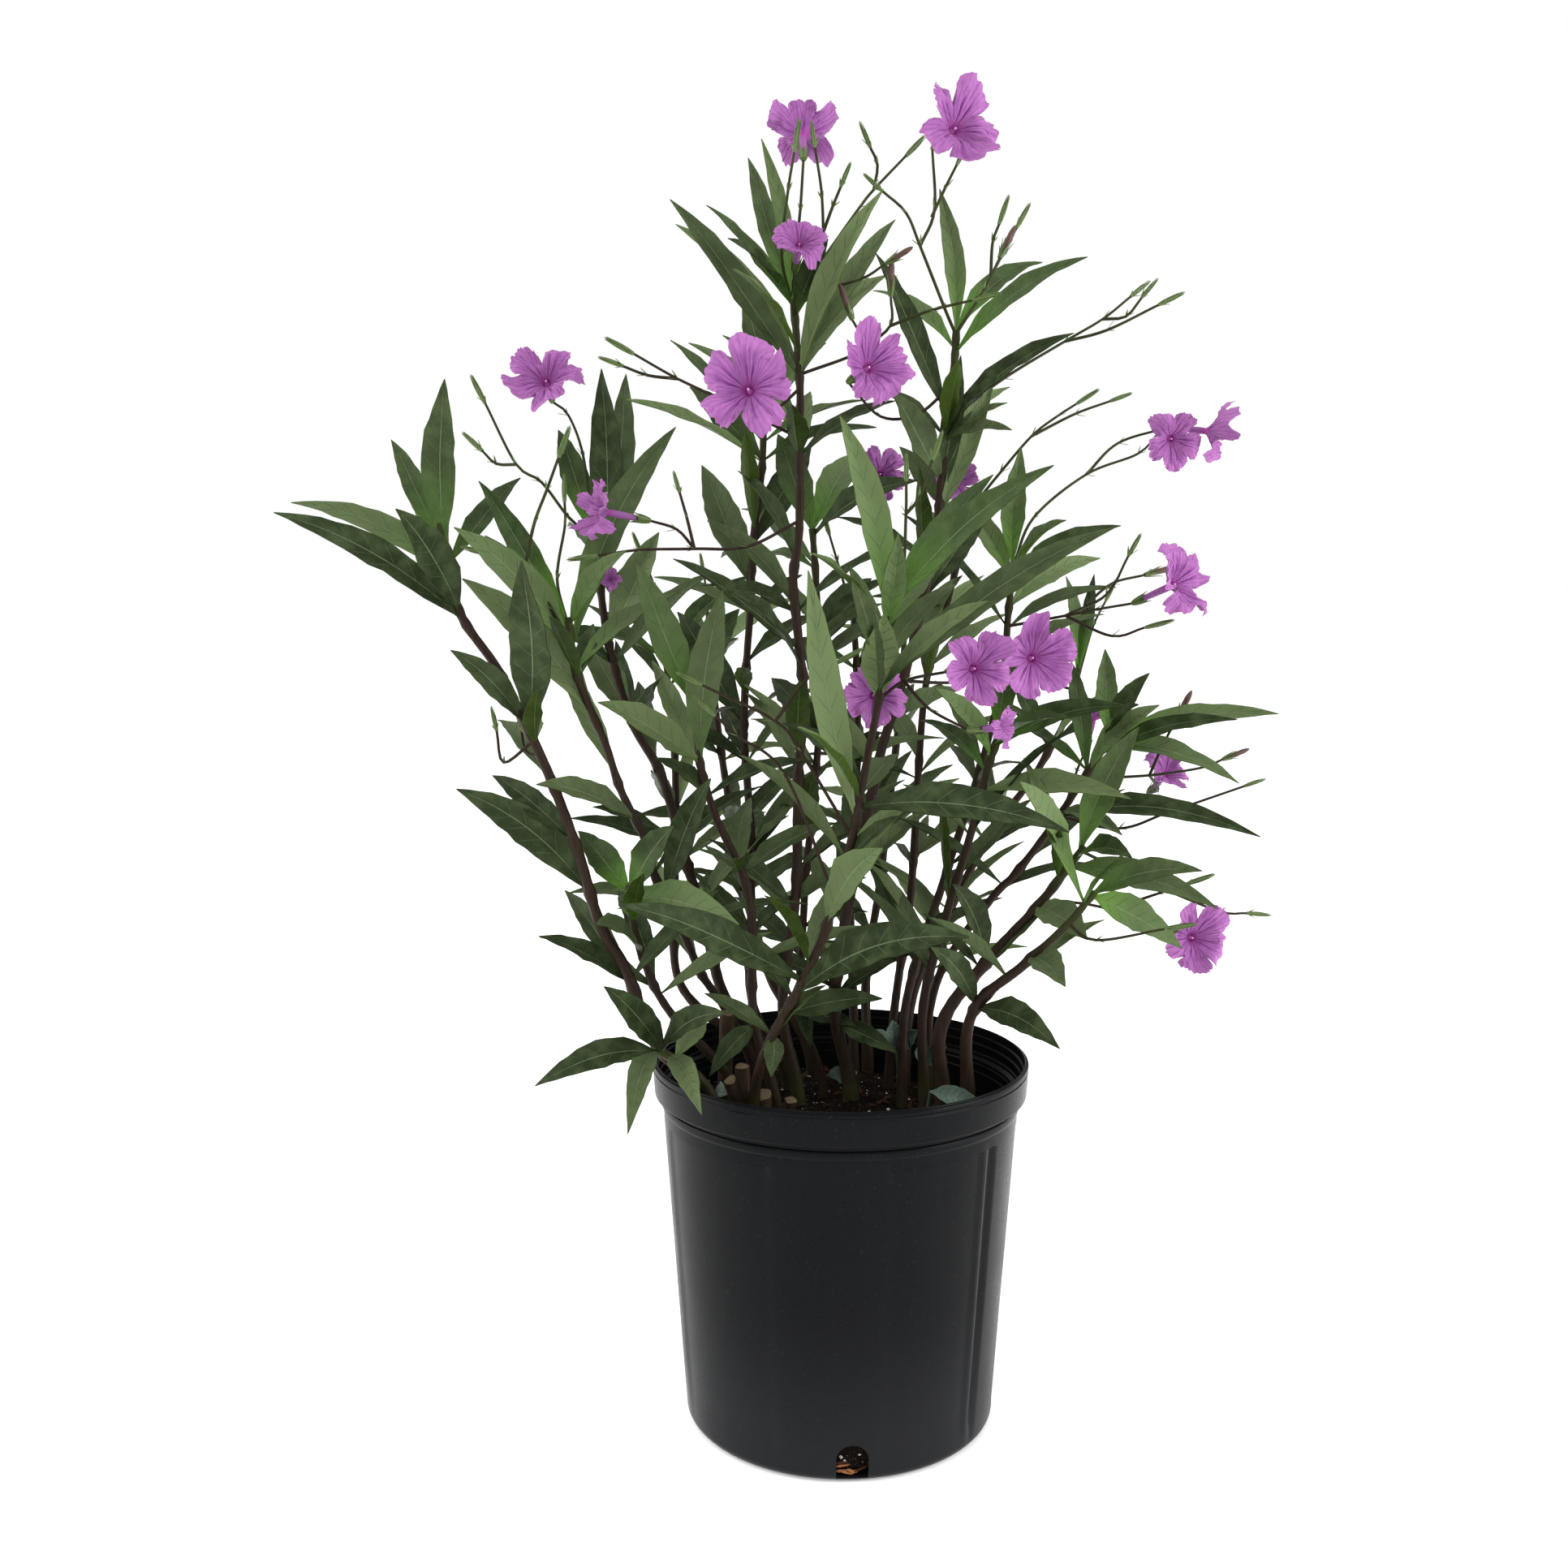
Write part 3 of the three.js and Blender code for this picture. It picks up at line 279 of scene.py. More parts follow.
def turned(name, profile, steps):
    """A closed body turned from (radius, height) points, in millimetres, that start and end on the axis."""
    alone()
    bpy.ops.mesh.primitive_plane_add(size=MM)
    made = active_mesh(name)
    bpy.ops.object.mode_set(mode="EDIT")
    bpy.ops.mesh.merge(type="CENTER")
    here = Vector((0, 0, 0))
    for i, (radius, height) in enumerate(profile):
        there = Vector((radius * MM, 0, height * MM))
        if i == 0:
            bpy.ops.transform.translate(value=there)
        else:
            bpy.ops.mesh.extrude_region_move(TRANSFORM_OT_translate={"value": there - here})
        here = there
    bpy.ops.mesh.select_all(action="SELECT")
    bpy.ops.mesh.spin(steps=steps, angle=2 * math.pi, center=(0, 0, 0), axis=(0, 0, 1))
    bpy.ops.mesh.select_all(action="SELECT")
    bpy.ops.mesh.remove_doubles(threshold=0.02 * MM)
    bpy.ops.mesh.normals_make_consistent(inside=False)
    bpy.ops.object.mode_set(mode="OBJECT")
    return made


def points_of(made):
    """A mesh's points as rows of x, y and z in millimetres."""
    flat = np.empty(len(made.data.vertices) * 3)
    made.data.vertices.foreach_get("co", flat)
    return flat.reshape(-1, 3) / MM


def set_points(made, points):
    made.data.vertices.foreach_set("co", (points * MM).ravel())
    made.data.update()


def smooth(made, degrees):
    alone(made)
    bpy.ops.object.shade_smooth_by_angle(angle=math.radians(degrees))


def apply_modifier(made, kind, **settings):
    modifier = made.modifiers.new(kind.lower(), kind)
    for key, value in settings.items():
        setattr(modifier, key, value)
    alone(made)
    bpy.ops.object.modifier_apply(modifier=modifier.name)


print("lathe helper ready")

# %% The pot's body
SHOULDER, FOOT, TALL = 127.5, 112, 265
LIP_FOOT = TALL - 24
HEEL, WALL, WALL_ROWS = 8, 2, 16
POT_STEPS = 256

outer = [
    (0, 0.8), (96, 0.8), (99, 0), (104, 0), (106.5, 0.6), (109, 2), (110.8, 4), (111.7, 6), (112, 8),
]
outer += [(FOOT + 15.1 * i / WALL_ROWS, HEEL + 214 * i / WALL_ROWS) for i in range(1, WALL_ROWS + 1)]
outer += [
    (127.15, 222.6), (127.2, 230), (128.1, 231), (128.4, 232), (128.4, 235), (128.1, 236),
    (127.1, 236.8), (127.1, 240.6), (133.2, 241), (133.6, 241.5), (133.8, 243), (134.4, 252),
    (134.7, 258.6), (134.2, 259.4), (134.3, 260.4), (135, 261.2), (135, 262.6), (134.7, 263.6),
    (134, 264), (133.7, 263.6), (133.4, 263.7), (133.1, 264.6), (132.6, 265),
]
inner = [
    (132.1, 264.6), (131.8, 259.2), (130.7, 258.3), (130.6, 253), (129.5, 252), (129.4, 246.4),
    (128.3, 245.4), (128.2, 243.6), (125.5, 241.6), (125.4, 239.6), (124.6, 238.6), (124.5, 233.6),
    (123.7, 232.6), (123.5, 226), (110, 8.5), (108, 4.4), (104, 2.7), (0, 2.6),
]
pot = turned("pot_body", outer + inner, POT_STEPS)
print("pot:", len(pot.data.polygons), "faces")

# %% [markdown]
# The wall isn't quite round. Below the bead it steps in by a millimetre in wide panels, which catch
# the light as arcs, and upright grooves run down it where the mould pressed ribs. They are shallow,
# so the turned wall's own points are pushed in by code, where a knife would leave slivers.

# %% Panels and grooves in the wall
# Each panel: the middle of it and half its width, in degrees round the pot from the front.
PANELS = [(-48, 26), (32, 21), (100, 24), (172, 24), (-128, 24)]
PANEL_TOP, PANEL_DEPTH, PANEL_SIDE = 222.3, 1.0, 4
# Each groove: its middle and half its width in degrees, and its depth, or its height where negative.
GROOVES = [
    (52.6, 2.2, 2.0), (48.8, 2.4, -1.1), (-90, 1.8, 1.0), (-13, 1.2, 0.28), (128, 1.6, 1.0), (-160, 1.6, 0.5),
]
OUTER_FACE, WALL_SLOPE, EASE_IN = 111.9, 0.0705, 14

points = points_of(pot)
radius = np.hypot(points[:, 0], points[:, 1])
azimuth = np.degrees(np.arctan2(points[:, 0], -points[:, 1]))
above_heel = points[:, 2] - HEEL
on_wall = (above_heel > 0) & (points[:, 2] < PANEL_TOP) & (radius > OUTER_FACE + above_heel * WALL_SLOPE)


def from_middle(middle):
    """How many degrees each point is from a place on the wall."""
    return np.abs((azimuth - middle + 180) % 360 - 180)


push = np.zeros(len(points))
for middle, width in PANELS:
    push = np.maximum(push, PANEL_DEPTH * np.clip((width - from_middle(middle)) / PANEL_SIDE, 0, 1))
for middle, width, depth in GROOVES:
    share = np.clip(1 - from_middle(middle) / width, 0, 1)
    push += depth * share * share * (3 - 2 * share)
push *= on_wall * np.clip(above_heel / EASE_IN, 0, 1)
points[:, :2] *= (1 - push / np.maximum(radius, 1))[:, None]
set_points(pot, points)
print("deepest groove:", round(float(push.max()), 2), "mm")

# %% [markdown]
# Water leaves by four arched holes at the foot. An arch is a short cylinder whose lower half is
# flattened and pulled down. It is cut out with a Boolean modifier, which keeps the wall closed.

# %% Drain holes
HOLE_RADIUS, HOLE_TALL, HOLE_DEEP, HOLE_SILL, HOLE_TURN, HOLES = 11, 25, 24, 3.2, 2.8, 4
ARCH_FOOT = HOLE_TALL - HOLE_RADIUS


def hole_turn(i):
    """The turn round the pot that takes the front to a hole."""
    return Matrix.Rotation(math.radians(HOLE_TURN + i * 360 / HOLES), 4, "Z")


for i in range(HOLES):
    alone()
    bpy.ops.mesh.primitive_cylinder_add(
        vertices=40, radius=HOLE_RADIUS * MM, depth=HOLE_DEEP * MM, rotation=(math.pi / 2, 0, 0)
    )
    cutter = active_mesh("hole_cutter")
    bpy.ops.object.transform_apply(location=False, rotation=True, scale=False)
    arch = points_of(cutter)
    arch[arch[:, 2] < -0.1, 2] = -ARCH_FOOT
    set_points(cutter, arch + (0, -FOOT, HOLE_SILL + ARCH_FOOT))
    cutter.data.transform(hole_turn(i))
    apply_modifier(pot, "BOOLEAN", operation="DIFFERENCE", object=cutter, solver="EXACT")
    bpy.data.objects.remove(cutter)
smooth(pot, 30)
print("pot with holes:", len(pot.data.polygons), "faces")

# %% [markdown]
# The plastic is black with a satin skin. Its roughness varies a little, it carries fine dust and
# upright drag marks from the mould, and its colour is greyer towards the foot: painted bounce light from the
# floor.

# %% Black plastic
BOUNCE_LIGHT_TALL, BOUNCE_LIGHT_SHARE = 0.13, 0.55
plastic, tree, shader = start_finish("satin_black_plastic", Specular_IOR_Level=0.065)
cloud = grain(tree, 14, 4)
drag = grain(tree, 60, 3, (1, 1, 0.03))
dust = fade(grain(tree, 420, 2), 0.62, 0.76)
# painted bounce light: the black is mixed greyer towards the foot, as if lit by the floor
painted_bounce_light = fade(parts_of(object_place(tree))[2], 0.0, BOUNCE_LIGHT_TALL, BOUNCE_LIGHT_SHARE, 0)
black = mix(cloud, "090a0b", "0f1012")
black = mix(times(drag, 0.35), black, "141517")
black = mix(times(dust, 0.1), black, "4a4843")
# the painted bounce light from the floor, greyer near the foot
black = mix(painted_bounce_light, black, "27282a")
rough = plus(fade(cloud, 0.3, 0.7, 0.22, 0.31), times(dust, 0.2))
rough = plus(rough, times(drag, 0.05))
feed(shader, Base_Color=black, Roughness=rough)
bumps(shader, plus(times(drag, 0.4), grain(tree, 900, 2)), 0.00006)
pot.data.materials.append(plastic)
print("plastic finished")

# %% [markdown]
# ## The soil
# Potting soil is dark peat with white perlite and bits of bark. Its body is turned like the pot,
# and the surface is raised by noise in code, because a sculpted crumb is random in the same way. It
# heaps to the left as in the photograph, on the CAD's own slope, a few millimetres fuller inside.

# %% The heap
CROWN, SOIL_REACH = 6, 118
SURFACE_RINGS = 44


def soil_height(x, y):
    """The CAD's surface, heaped to the left with low bumps, and filled a few millimetres higher inside."""
    heap = 226 - 0.05 * x - 0.0006 * (x * x + y * y)
    filled = CROWN * max(0, 1 - (math.hypot(x, y) / SOIL_REACH) ** 4)
    return heap + 2.2 * math.sin(x / 11) * math.cos(y / 13) + filled


def inside_wall(height):
    """The pot's inner radius at a height, less a hair's gap."""
    return FOOT + (SHOULDER - FOOT) * (height - HEEL) / (LIP_FOOT - HEEL) - WALL - 1.4


wall_line = [(0, 3.2), (98, 3.2), (inside_wall(9) - 1, 10)]
wall_line += [(inside_wall(h), h) for h in (40, 90, 140, 190, 212)]
surface_line = [(SOIL_REACH * (1 - i / SURFACE_RINGS), 222) for i in range(SURFACE_RINGS + 1)]
soil = turned("potting_soil", wall_line + surface_line, 128)
points = points_of(soil)
for i, (x, y, z) in enumerate(points):
    if z > 213:
        crumbs = noise.noise(Vector((x, y, 0)) / 7) * 2.2 + noise.noise(Vector((x, y, 9)) / 3) * 1.5
        edge = min(1, (SOIL_REACH + 1 - math.hypot(x, y)) / 6)
        points[i, 2] = soil_height(x, y) + crumbs * edge
set_points(soil, points)
smooth(soil, 60)
print("soil:", len(soil.data.polygons), "faces")

# %% Dark peat
peat, tree, shader = start_finish("dark_peat", Roughness=0.95, Specular_IOR_Level=0.04)
coarse, fine = grain(tree, 160, 5), grain(tree, 620, 4)
brown = mix(coarse, "060504", "19110d")
brown = mix(fade(fine, 0.55, 0.75), brown, "2f2118")
brown = mix(fade(grain(tree, 900, 1), 0.7, 0.76), brown, "8f887c")
feed(shader, Base_Color=brown)
bumps(shader, plus(coarse, fine), 0.0016)
soil.data.materials.append(peat)
print("peat finished")

# %% [markdown]
# Perlite and bark lie on the soil. Each kind is modelled once with few faces and copied with a turn,
# a size and a place of its own. A seeded draw makes every run the same.

# %% Copies and draws


def draws_from(seed):
    """Draws between 0 and 1 that are the same on every run, and the same as the CAD's."""
    state = seed

    def draw():
        nonlocal state
        state = (state * 1664525 + 1013904223) % 4294967296
        return state / 4294967296

    return draw


def copy_of(pattern, where=None):
    """A copy with its own mesh, with its place in its mesh."""
    made = bpy.data.objects.new(pattern.name, pattern.data.copy())
    if where:
        made.data.transform(where)
    bpy.context.collection.objects.link(made)
    return made


def joined(name, parts):
    """Several pieces as one, under a plain name."""
    alone(parts[0])
    for part in parts:
        part.select_set(True)
    bpy.ops.object.join()
    return active_mesh(name)


def remove(*patterns):
    for pattern in patterns:
        bpy.data.objects.remove(pattern)


def placing(place, along, size, roll=0.0):
    """A matrix that stands a pattern's +Z along a direction, at a place in millimetres and a size."""
    turn = Vector(along).to_track_quat("Z", "Y").to_matrix().to_4x4()
    scale = Matrix.Diagonal((*size, 1))
    return Matrix.Translation(Vector(place) * MM) @ turn @ Matrix.Rotation(roll, 4, "Z") @ scale


print("first draw of seed 1:", round(draws_from(1)(), 4))

# %% Perlite, bark and crumbs
PEARLS, CHIPS = 150, 230
SCATTER_REACH = 114
draw = draws_from(71)


def rough_lump(name, push, finish):
    """A lump of twenty faces, a millimetre across, with its corners pushed about."""
    alone()
    bpy.ops.mesh.primitive_ico_sphere_add(subdivisions=1, radius=0.5 * MM)
    made = active_mesh(name)
    for vertex in made.data.vertices:
        vertex.co *= 1 + push * (draw() - 0.5)
    made.data.materials.append(finish)
    return made


def on_soil():
    """A place on the soil, drawn evenly over its surface."""
    out, angle = SCATTER_REACH * math.sqrt(draw()), 2 * math.pi * draw()
    x, y = out * math.cos(angle), out * math.sin(angle)
    return x, y, soil_height(x, y)


def any_way():
    return draw() - 0.5, draw() - 0.5, draw() - 0.5


white, tree, shader = start_finish("perlite", Roughness=0.9, Specular_IOR_Level=0.1)
feed(shader, Base_Color=mix(grain(tree, 700, 2), "c9c6bd", "8c887f"))
bumps(shader, grain(tree, 2500, 2), 0.0003)
dull = {"Roughness": 0.85, "Specular_IOR_Level": 0.08}
brown = two_tone("bark_chips", "1c120c", "4a2f1e", (260, 4, (1, 1, 0.3)), 0.0008, **dull)
orange = two_tone("orange_bark", "4a2c18", "b06c3a", (260, 4, (0.3, 1, 1)), Roughness=0.8)

pearl = rough_lump("pearl", 0.5, white)
chip = rough_lump("chip", 0.7, brown)
strip = rough_lump("strip", 0.7, orange)
pearls, chips = [], []
for _ in range(PEARLS):
    size = 1.2 + 2.2 * draw() ** 2
    pearls.append(copy_of(pearl, placing(on_soil(), any_way(), (size, size * 0.8, size * 0.7))))
for _ in range(CHIPS):
    long = 3 + 9 * draw() ** 2
    x, y, z = on_soil()
    across = long * (0.25 + 0.3 * draw())
    way = (draw() - 0.5, draw() - 0.5, 0.35 * (draw() - 0.5))
    chips.append(copy_of(chip, placing((x, y, z + 0.4), way, (across, across * 0.5, long))))
print("perlite:", len(pearls), "bark:", len(chips))

# %% [markdown]
# The hole in front shows the soil behind it, with strips of orange bark, a root or two and white
# specks. They are the same lumps, set just behind the wall.

# %% What shows in the drain holes
HOLE_PEARLS, HOLE_STRIPS, HOLE_CHIPS = 6, 5, 2
LOW_STRIPS = 4
for i in range(HOLES):
    turn = hole_turn(i)
    for _ in range(HOLE_PEARLS):
        x, z = 16 * (draw() - 0.5), 8 + 14 * draw()
        spot = turn @ Vector((x, -106.5 - 0.06 * z, z))
        size = 1.5 + 1.6 * draw()
        pearls.append(copy_of(pearl, placing(spot, any_way(), (size, size, size))))
    for k in range(HOLE_STRIPS + HOLE_CHIPS):
        x = 14 * (draw() - 0.5)
        z = 5.5 + 3 * draw() if k < LOW_STRIPS else 8 + 12 * draw()
        spot = turn @ Vector((x, -107 - 0.06 * z, z))
        way = turn @ Vector((1, 0.2 * draw(), 0.9 * (draw() - 0.5)))
        pattern = strip if k < HOLE_STRIPS else chip
        chips.append(copy_of(pattern, placing(spot, way, (3.2, 2, 9 + 5 * draw()))))
perlite = joined("perlite_grains", pearls)
bark = joined("bark_chips", chips)
remove(pearl, chip, strip)
print("perlite faces:", len(perlite.data.polygons), "bark faces:", len(bark.data.polygons))

# %% [markdown]
# Old canes were cut off above the soil, on the left. A stump is turned like the pot: a brown side and
# a pale cut end. Noise makes it knobbly.

# %% Cut stumps
# Each stump: its foot, the way that it leans, its radius and its length.
STUMPS = [
    [(-84, 6, 222), (0.05, -0.2, 1), 5.6, 78],
    [(-66, -50, 226), (-0.3, -0.4, 1), 4.4, 44],
    [(-68, -40, 222), (-0.03, -0.2, 1), 4.8, 50],
    [(-54, -46, 224), (-0.05, -0.45, 1), 6.6, 32],
    [(-40, -40, 224), (0.2, -0.35, 1), 4.2, 24],
]
STUMP_KNOBS, KNOB_SIZE = 1.6, 6
dull = {"Specular_IOR_Level": 0.1}
dry = two_tone("dry_bark", "1c1711", "463a2b", (300, 4, (1, 1, 0.15)), 0.0009, Roughness=0.85, **dull)
cut = two_tone("cut_wood", "41372b", "796850", (500, 4), 0.0006, Roughness=0.9, **dull)
stumps = []
for foot, way, radius, long in STUMPS:
    side_line = [(0, 0), (radius, 0), (radius * 0.92, long * 0.6), (radius, long), (0, long)]
    end_line = [(0, long), (radius * 0.9, long + 0.1), (radius * 0.7, long + 0.7), (0, long + 0.4)]
    both = []
    for name, profile, finish in (("stump", side_line, dry), ("stump_end", end_line, cut)):
        made = turned(name, profile, 14)
        made.data.materials.append(finish)
        both.append(made)
    stump = joined("stump", both)
    stump.data.transform(placing(foot, way, (1, 1, 1), radius))
    for vertex in stump.data.vertices:
        vertex.co += noise.noise_vector(vertex.co / MM / KNOB_SIZE) * STUMP_KNOBS * MM
    smooth(stump, 50)
    stumps.append(stump)
stump_piece = joined("cut_stumps", stumps)
print("stumps:", len(STUMPS), "faces:", len(stump_piece.data.polygons))

# %% [markdown]
# ## Where everything grows
# These tables are the CAD's own, written out again here in millimetres, because a frame holds only
# triangles. Each stem has its foot, the points that its axis passes, its leaves and its flower
# stalks. A leaf has the height where it leaves the stem, its tip and its width. A stalk has what it
# ends in, and the points that it passes. The thin stalks are too fine for the CAD.

# %% Stems
Stem = namedtuple("Stem", "foot route leaves stalks")
STEMS = {
    "rim_left": Stem(
        (-88, -42),
        [
            (-130, -55, 285), (-140, -50, 315), (-150, -60, 345), (-165, -65, 375), (-180, -80, 435),
            (-200, -85, 490), (-225, -90, 545), (-250, -92, 585), (-262, -90, 640),
        ],
        [
            (505, -200, -120, 615, 24), (395, -250, -110, 475, 22), (575, -355, -130, 645, 18),
            (585, -275, -150, 655, 21), (620, -255, -95, 730, 19), (605, -365, -60, 655, 15),
            (625, -290, -70, 705, 13), (615, -225, -60, 672, 13), (510, -250, -120, 560, 15),
            (430, -240, -40, 472, 15),
        ],
        [
            ["bud", (-204, -86, 500), (-225, -80, 485), (-230, -75, 505)],
            ["bud", (-200, -85, 490), (-211, -76, 492), (-215, -70, 508)],
        ],
    ),
    "left_short": Stem(
        (-72, -18),
        [(-120, -25, 300), (-138, -42, 345), (-145, -50, 380), (-146, -50, 398)],
        [
            (392, -112, -95, 445, 20), (392, -185, -15, 430, 18), (345, -170, -95, 385, 18),
            (388, -70, -88, 378, 22),
        ],
        [],
    ),
    "left_bend": Stem(
        (-60, 12),
        [
            (-85, 10, 300), (-98, 0, 320), (-110, -20, 355), (-130, -30, 400), (-137, -40, 430),
            (-150, -50, 460), (-160, -62, 495), (-178, -70, 545), (-182, -75, 580),
        ],
        [
            (510, -258, -125, 605, 22), (560, -125, 10, 720, 19), (555, -240, -150, 635, 19),
            (572, -245, -60, 667, 15), (560, -245, -20, 635, 14), (572, -140, -110, 622, 15),
            (440, -195, -95, 477, 17), (385, -98, -75, 465, 19),
        ],
        [
            ["bud", (-179, -72, 560), (-190, -90, 585), (-205, -100, 615), (-225, -110, 620)],
            ["bud", (-205, -100, 615), (-198, -106, 640), (-190, -106, 660), (-182, -108, 680)],
            ["bud", (-182, -75, 575), (-190, -65, 605), (-185, -60, 640), (-185, -60, 655)],
        ],
    ),
    "left_tall": Stem(
        (-50, 40),
        [
            (-85, 40, 295), (-95, 40, 335), (-115, 35, 410), (-130, 30, 465), (-150, 20, 505),
            (-165, 15, 560), (-170, 10, 600), (-175, 5, 645),
        ],
        [
            (600, -170, 20, 745, 21), (560, -135, -22, 628, 22), (605, -158, 50, 758, 19),
            (635, -202, 40, 712, 17), (505, -190, 62, 565, 19),
        ],
        [
            ["bud", (-174, 6, 635), (-190, 0, 648), (-208, -5, 672), (-225, -6, 684), (-245, -10, 725)],
            ["bloom_04", (-175, 5, 640), (-180, 4, 690), (-192, 20, 720)],
            ["bloom_13", (-170, 10, 600), (-160, 2, 602)],
        ],
    ),
    "left_back": Stem(
        (-62, 72),
        [(-120, 85, 290), (-125, 100, 350), (-125, 110, 465), (-130, 110, 520), (-130, 112, 570)],
        [],
        [["bud", (-130, 112, 565), (-140, 118, 600), (-150, 120, 625)]],
    ),
    "mid_left": Stem(
        (-46, -36),
        [(-62, -36, 300), (-64, -38, 385), (-88, -36, 445), (-98, -36, 480), (-102, -38, 525)],
        [
            (480, -80, -85, 598, 21), (480, -162, -85, 525, 20), (520, -130, -60, 625, 20),
            (520, -72, 10, 585, 18),
        ],
        [],
    ),
    "mid_dark": Stem(
        (-38, 22),
        [
            (-65, 25, 295), (-65, 35, 345), (-65, 45, 420), (-70, 50, 500), (-65, 50, 585), (-62, 50, 640),
            (-56, 45, 690), (-55, 45, 728),
        ],
        [
            (500, -122, 90, 582, 22), (600, -102, 90, 682, 22), (632, -20, 90, 697, 21),
            (722, -70, 75, 812, 18), (722, -18, 80, 792, 18), (690, -110, 80, 747, 18),
        ],
        [["bud", (-56, 46, 715), (-48, 30, 750), (-52, 20, 775)]],
    ),
    "tall_centre": Stem(
        (-30, -12),
        [
            (-42, -10, 290), (-40, -10, 325), (-32, -10, 390), (-30, -15, 475), (-26, -15, 515),
            (-30, -20, 560), (-34, -20, 605), (-30, -20, 640), (-30, -25, 700), (-30, -25, 740),
            (-34, -25, 788),
        ],
        [
            (740, -105, -60, 848, 20), (740, 22, -72, 848, 18), (555, -122, -72, 627, 17),
            (740, 32, 30, 818, 18), (782, -66, -110, 822, 16), (785, -90, -70, 842, 14),
            (785, -65, 10, 892, 16), (785, -55, -55, 887, 13), (740, -115, 10, 848, 17),
            (750, 36, 10, 842, 17), (780, -12, -66, 825, 18), (755, -72, -90, 802, 14),
            (705, -95, -52, 752, 16), (705, -75, 40, 787, 15), (545, -85, -82, 588, 16),
            (585, -95, 10, 647, 16),
        ],
        [
            ["bloom_01", (-34, -25, 785), (-33, -42, 815), (-30, -56, 842)],
            ["bud", (-34, -25, 785), (-42, -50, 815), (-38, -72, 850), (-34, -80, 872)],
            ["bud", (-34, -25, 785), (-20, -25, 797), (-15, -35, 815), (-16, -62, 848), (-21, -80, 875)],
            ["bud", (-15, -46, 830), (-9, -52, 845), (-4, -58, 856)],
            ["bud", (-15, -35, 815), (10, -20, 852), (20, -10, 866), (42, -2, 890)],
            ["pod", (-20, -25, 797), (10, -38, 802), (26, -48, 810)],
            ["pod", (-30, -25, 742), (12, -32, 758), (5, -36, 776)],
            ["pod", (12, -32, 758), (30, -38, 772), (30, -42, 790)],
            ["bud", (30, -38, 772), (55, -48, 780), (82, -58, 785)],
            ["bud", (-30, -20, 645), (-65, -40, 627), (-100, -55, 625), (-135, -66, 624), (-162, -74, 620)],
            ["bloom_07", (-100, -55, 625), (-112, -48, 638)],
            ["bud", (-100, -55, 625), (-105, -50, 645), (-110, -45, 662)],
            ["bud", (-30, -25, 700), (-75, -46, 720), (-110, -58, 735), (-138, -64, 750)],
            ["bloom_03", (-34, -25, 780), (-35, -38, 788)],
            ["bloom_05", (-31, -25, 732), (-44, -46, 718), (-60, -58, 706)],
        ],
    ),
    "second_centre": Stem(
        (-12, 10),
        [(-28, 15, 290), (-25, 25, 385), (-20, 30, 440), (-15, 32, 500), (-15, 32, 560), (-20, 35, 642)],
        [(640, -45, 70, 712, 20), (640, 15, 80, 702, 20), (555, 25, 82, 607, 20), (495, -50, 90, 532, 20)],
        [["bloom_08", (-20, 35, 638), (5, 40, 662)]],
    ),
    "front": Stem(
        (-62, -62),
        [
            (-54, -80, 290), (-40, -90, 318), (-26, -92, 345), (-14, -98, 375), (0, -102, 425),
            (6, -105, 450), (10, -106, 475), (20, -110, 530), (25, -110, 585),
        ],
        [
            (580, -5, -90, 708, 17), (580, 122, -150, 672, 17), (450, -26, -130, 618, 18),
            (460, 132, -172, 452, 21), (340, -142, -160, 405, 22), (330, 72, -160, 388, 25),
            (580, 86, -90, 672, 16), (535, 165, -122, 636, 17), (380, 20, -150, 432, 23),
            (550, -10, -150, 612, 14), (535, 86, -162, 582, 15), (570, 30, -132, 632, 13),
            (530, 20, -152, 586, 15),
        ],
        [
            ["bloom_14", (20, -110, 528), (36, -108, 540), (62, -98, 545)],
            ["bloom_15", (36, -108, 540), (70, -84, 538), (100, -78, 545)],
            ["bloom_16", (36, -108, 540), (50, -130, 524)],
            ["bud", (25, -110, 583), (34, -112, 605), (36, -112, 645), (36, -112, 665)],
            ["bud", (3, -104, 440), (-30, -110, 495), (-46, -115, 515), (-92, -120, 538)],
            ["bud", (-46, -115, 515), (-25, -120, 543), (-8, -122, 552)],
            ["bud", (-8, -100, 400), (-40, -106, 480), (-70, -110, 505), (-84, -112, 518)],
        ],
    ),
    "tall_right": Stem(
        (8, -2),
        [
            (-5, -5, 300), (5, -10, 375), (20, -15, 450), (27, -15, 485), (40, -20, 530), (55, -20, 590),
            (65, -20, 650), (70, -20, 710), (75, -16, 750), (76, -15, 772),
        ],
        [
            (715, 30, -50, 822, 18), (768, 65, -32, 868, 15), (770, 145, 30, 832, 16),
            (755, 156, -60, 812, 17), (715, 146, -72, 762, 16), (670, 30, -62, 726, 24),
            (700, 100, -82, 732, 14), (700, 70, -90, 742, 14), (700, 106, -80, 700, 14),
            (655, 40, 20, 697, 16), (590, 105, 30, 652, 19),
        ],
        [
            ["bud", (76, -15, 770), (68, -22, 785), (50, -30, 825), (40, -36, 845), (24, -40, 858)],
            ["bloom_02", (50, -30, 825), (60, -22, 850)],
            ["bud", (58, -24, 845), (66, -26, 862), (74, -24, 878)],
            ["pod", (76, -15, 770), (95, -10, 800), (106, -6, 822)],
            ["bud", (95, -10, 800), (112, 0, 832), (118, 0, 843)],
            ["bud", (71, -20, 712), (110, -4, 742), (155, 15, 770), (182, 20, 786), (202, 25, 802)],
            ["bud", (155, 15, 770), (182, 5, 776), (216, 0, 792)],
            ["bloom_06", (72, -18, 735), (50, -26, 716), (24, -38, 713)],
            ["bloom_17", (39, -20, 525), (30, -30, 520)],
        ],
    ),
    "back_centre": Stem(
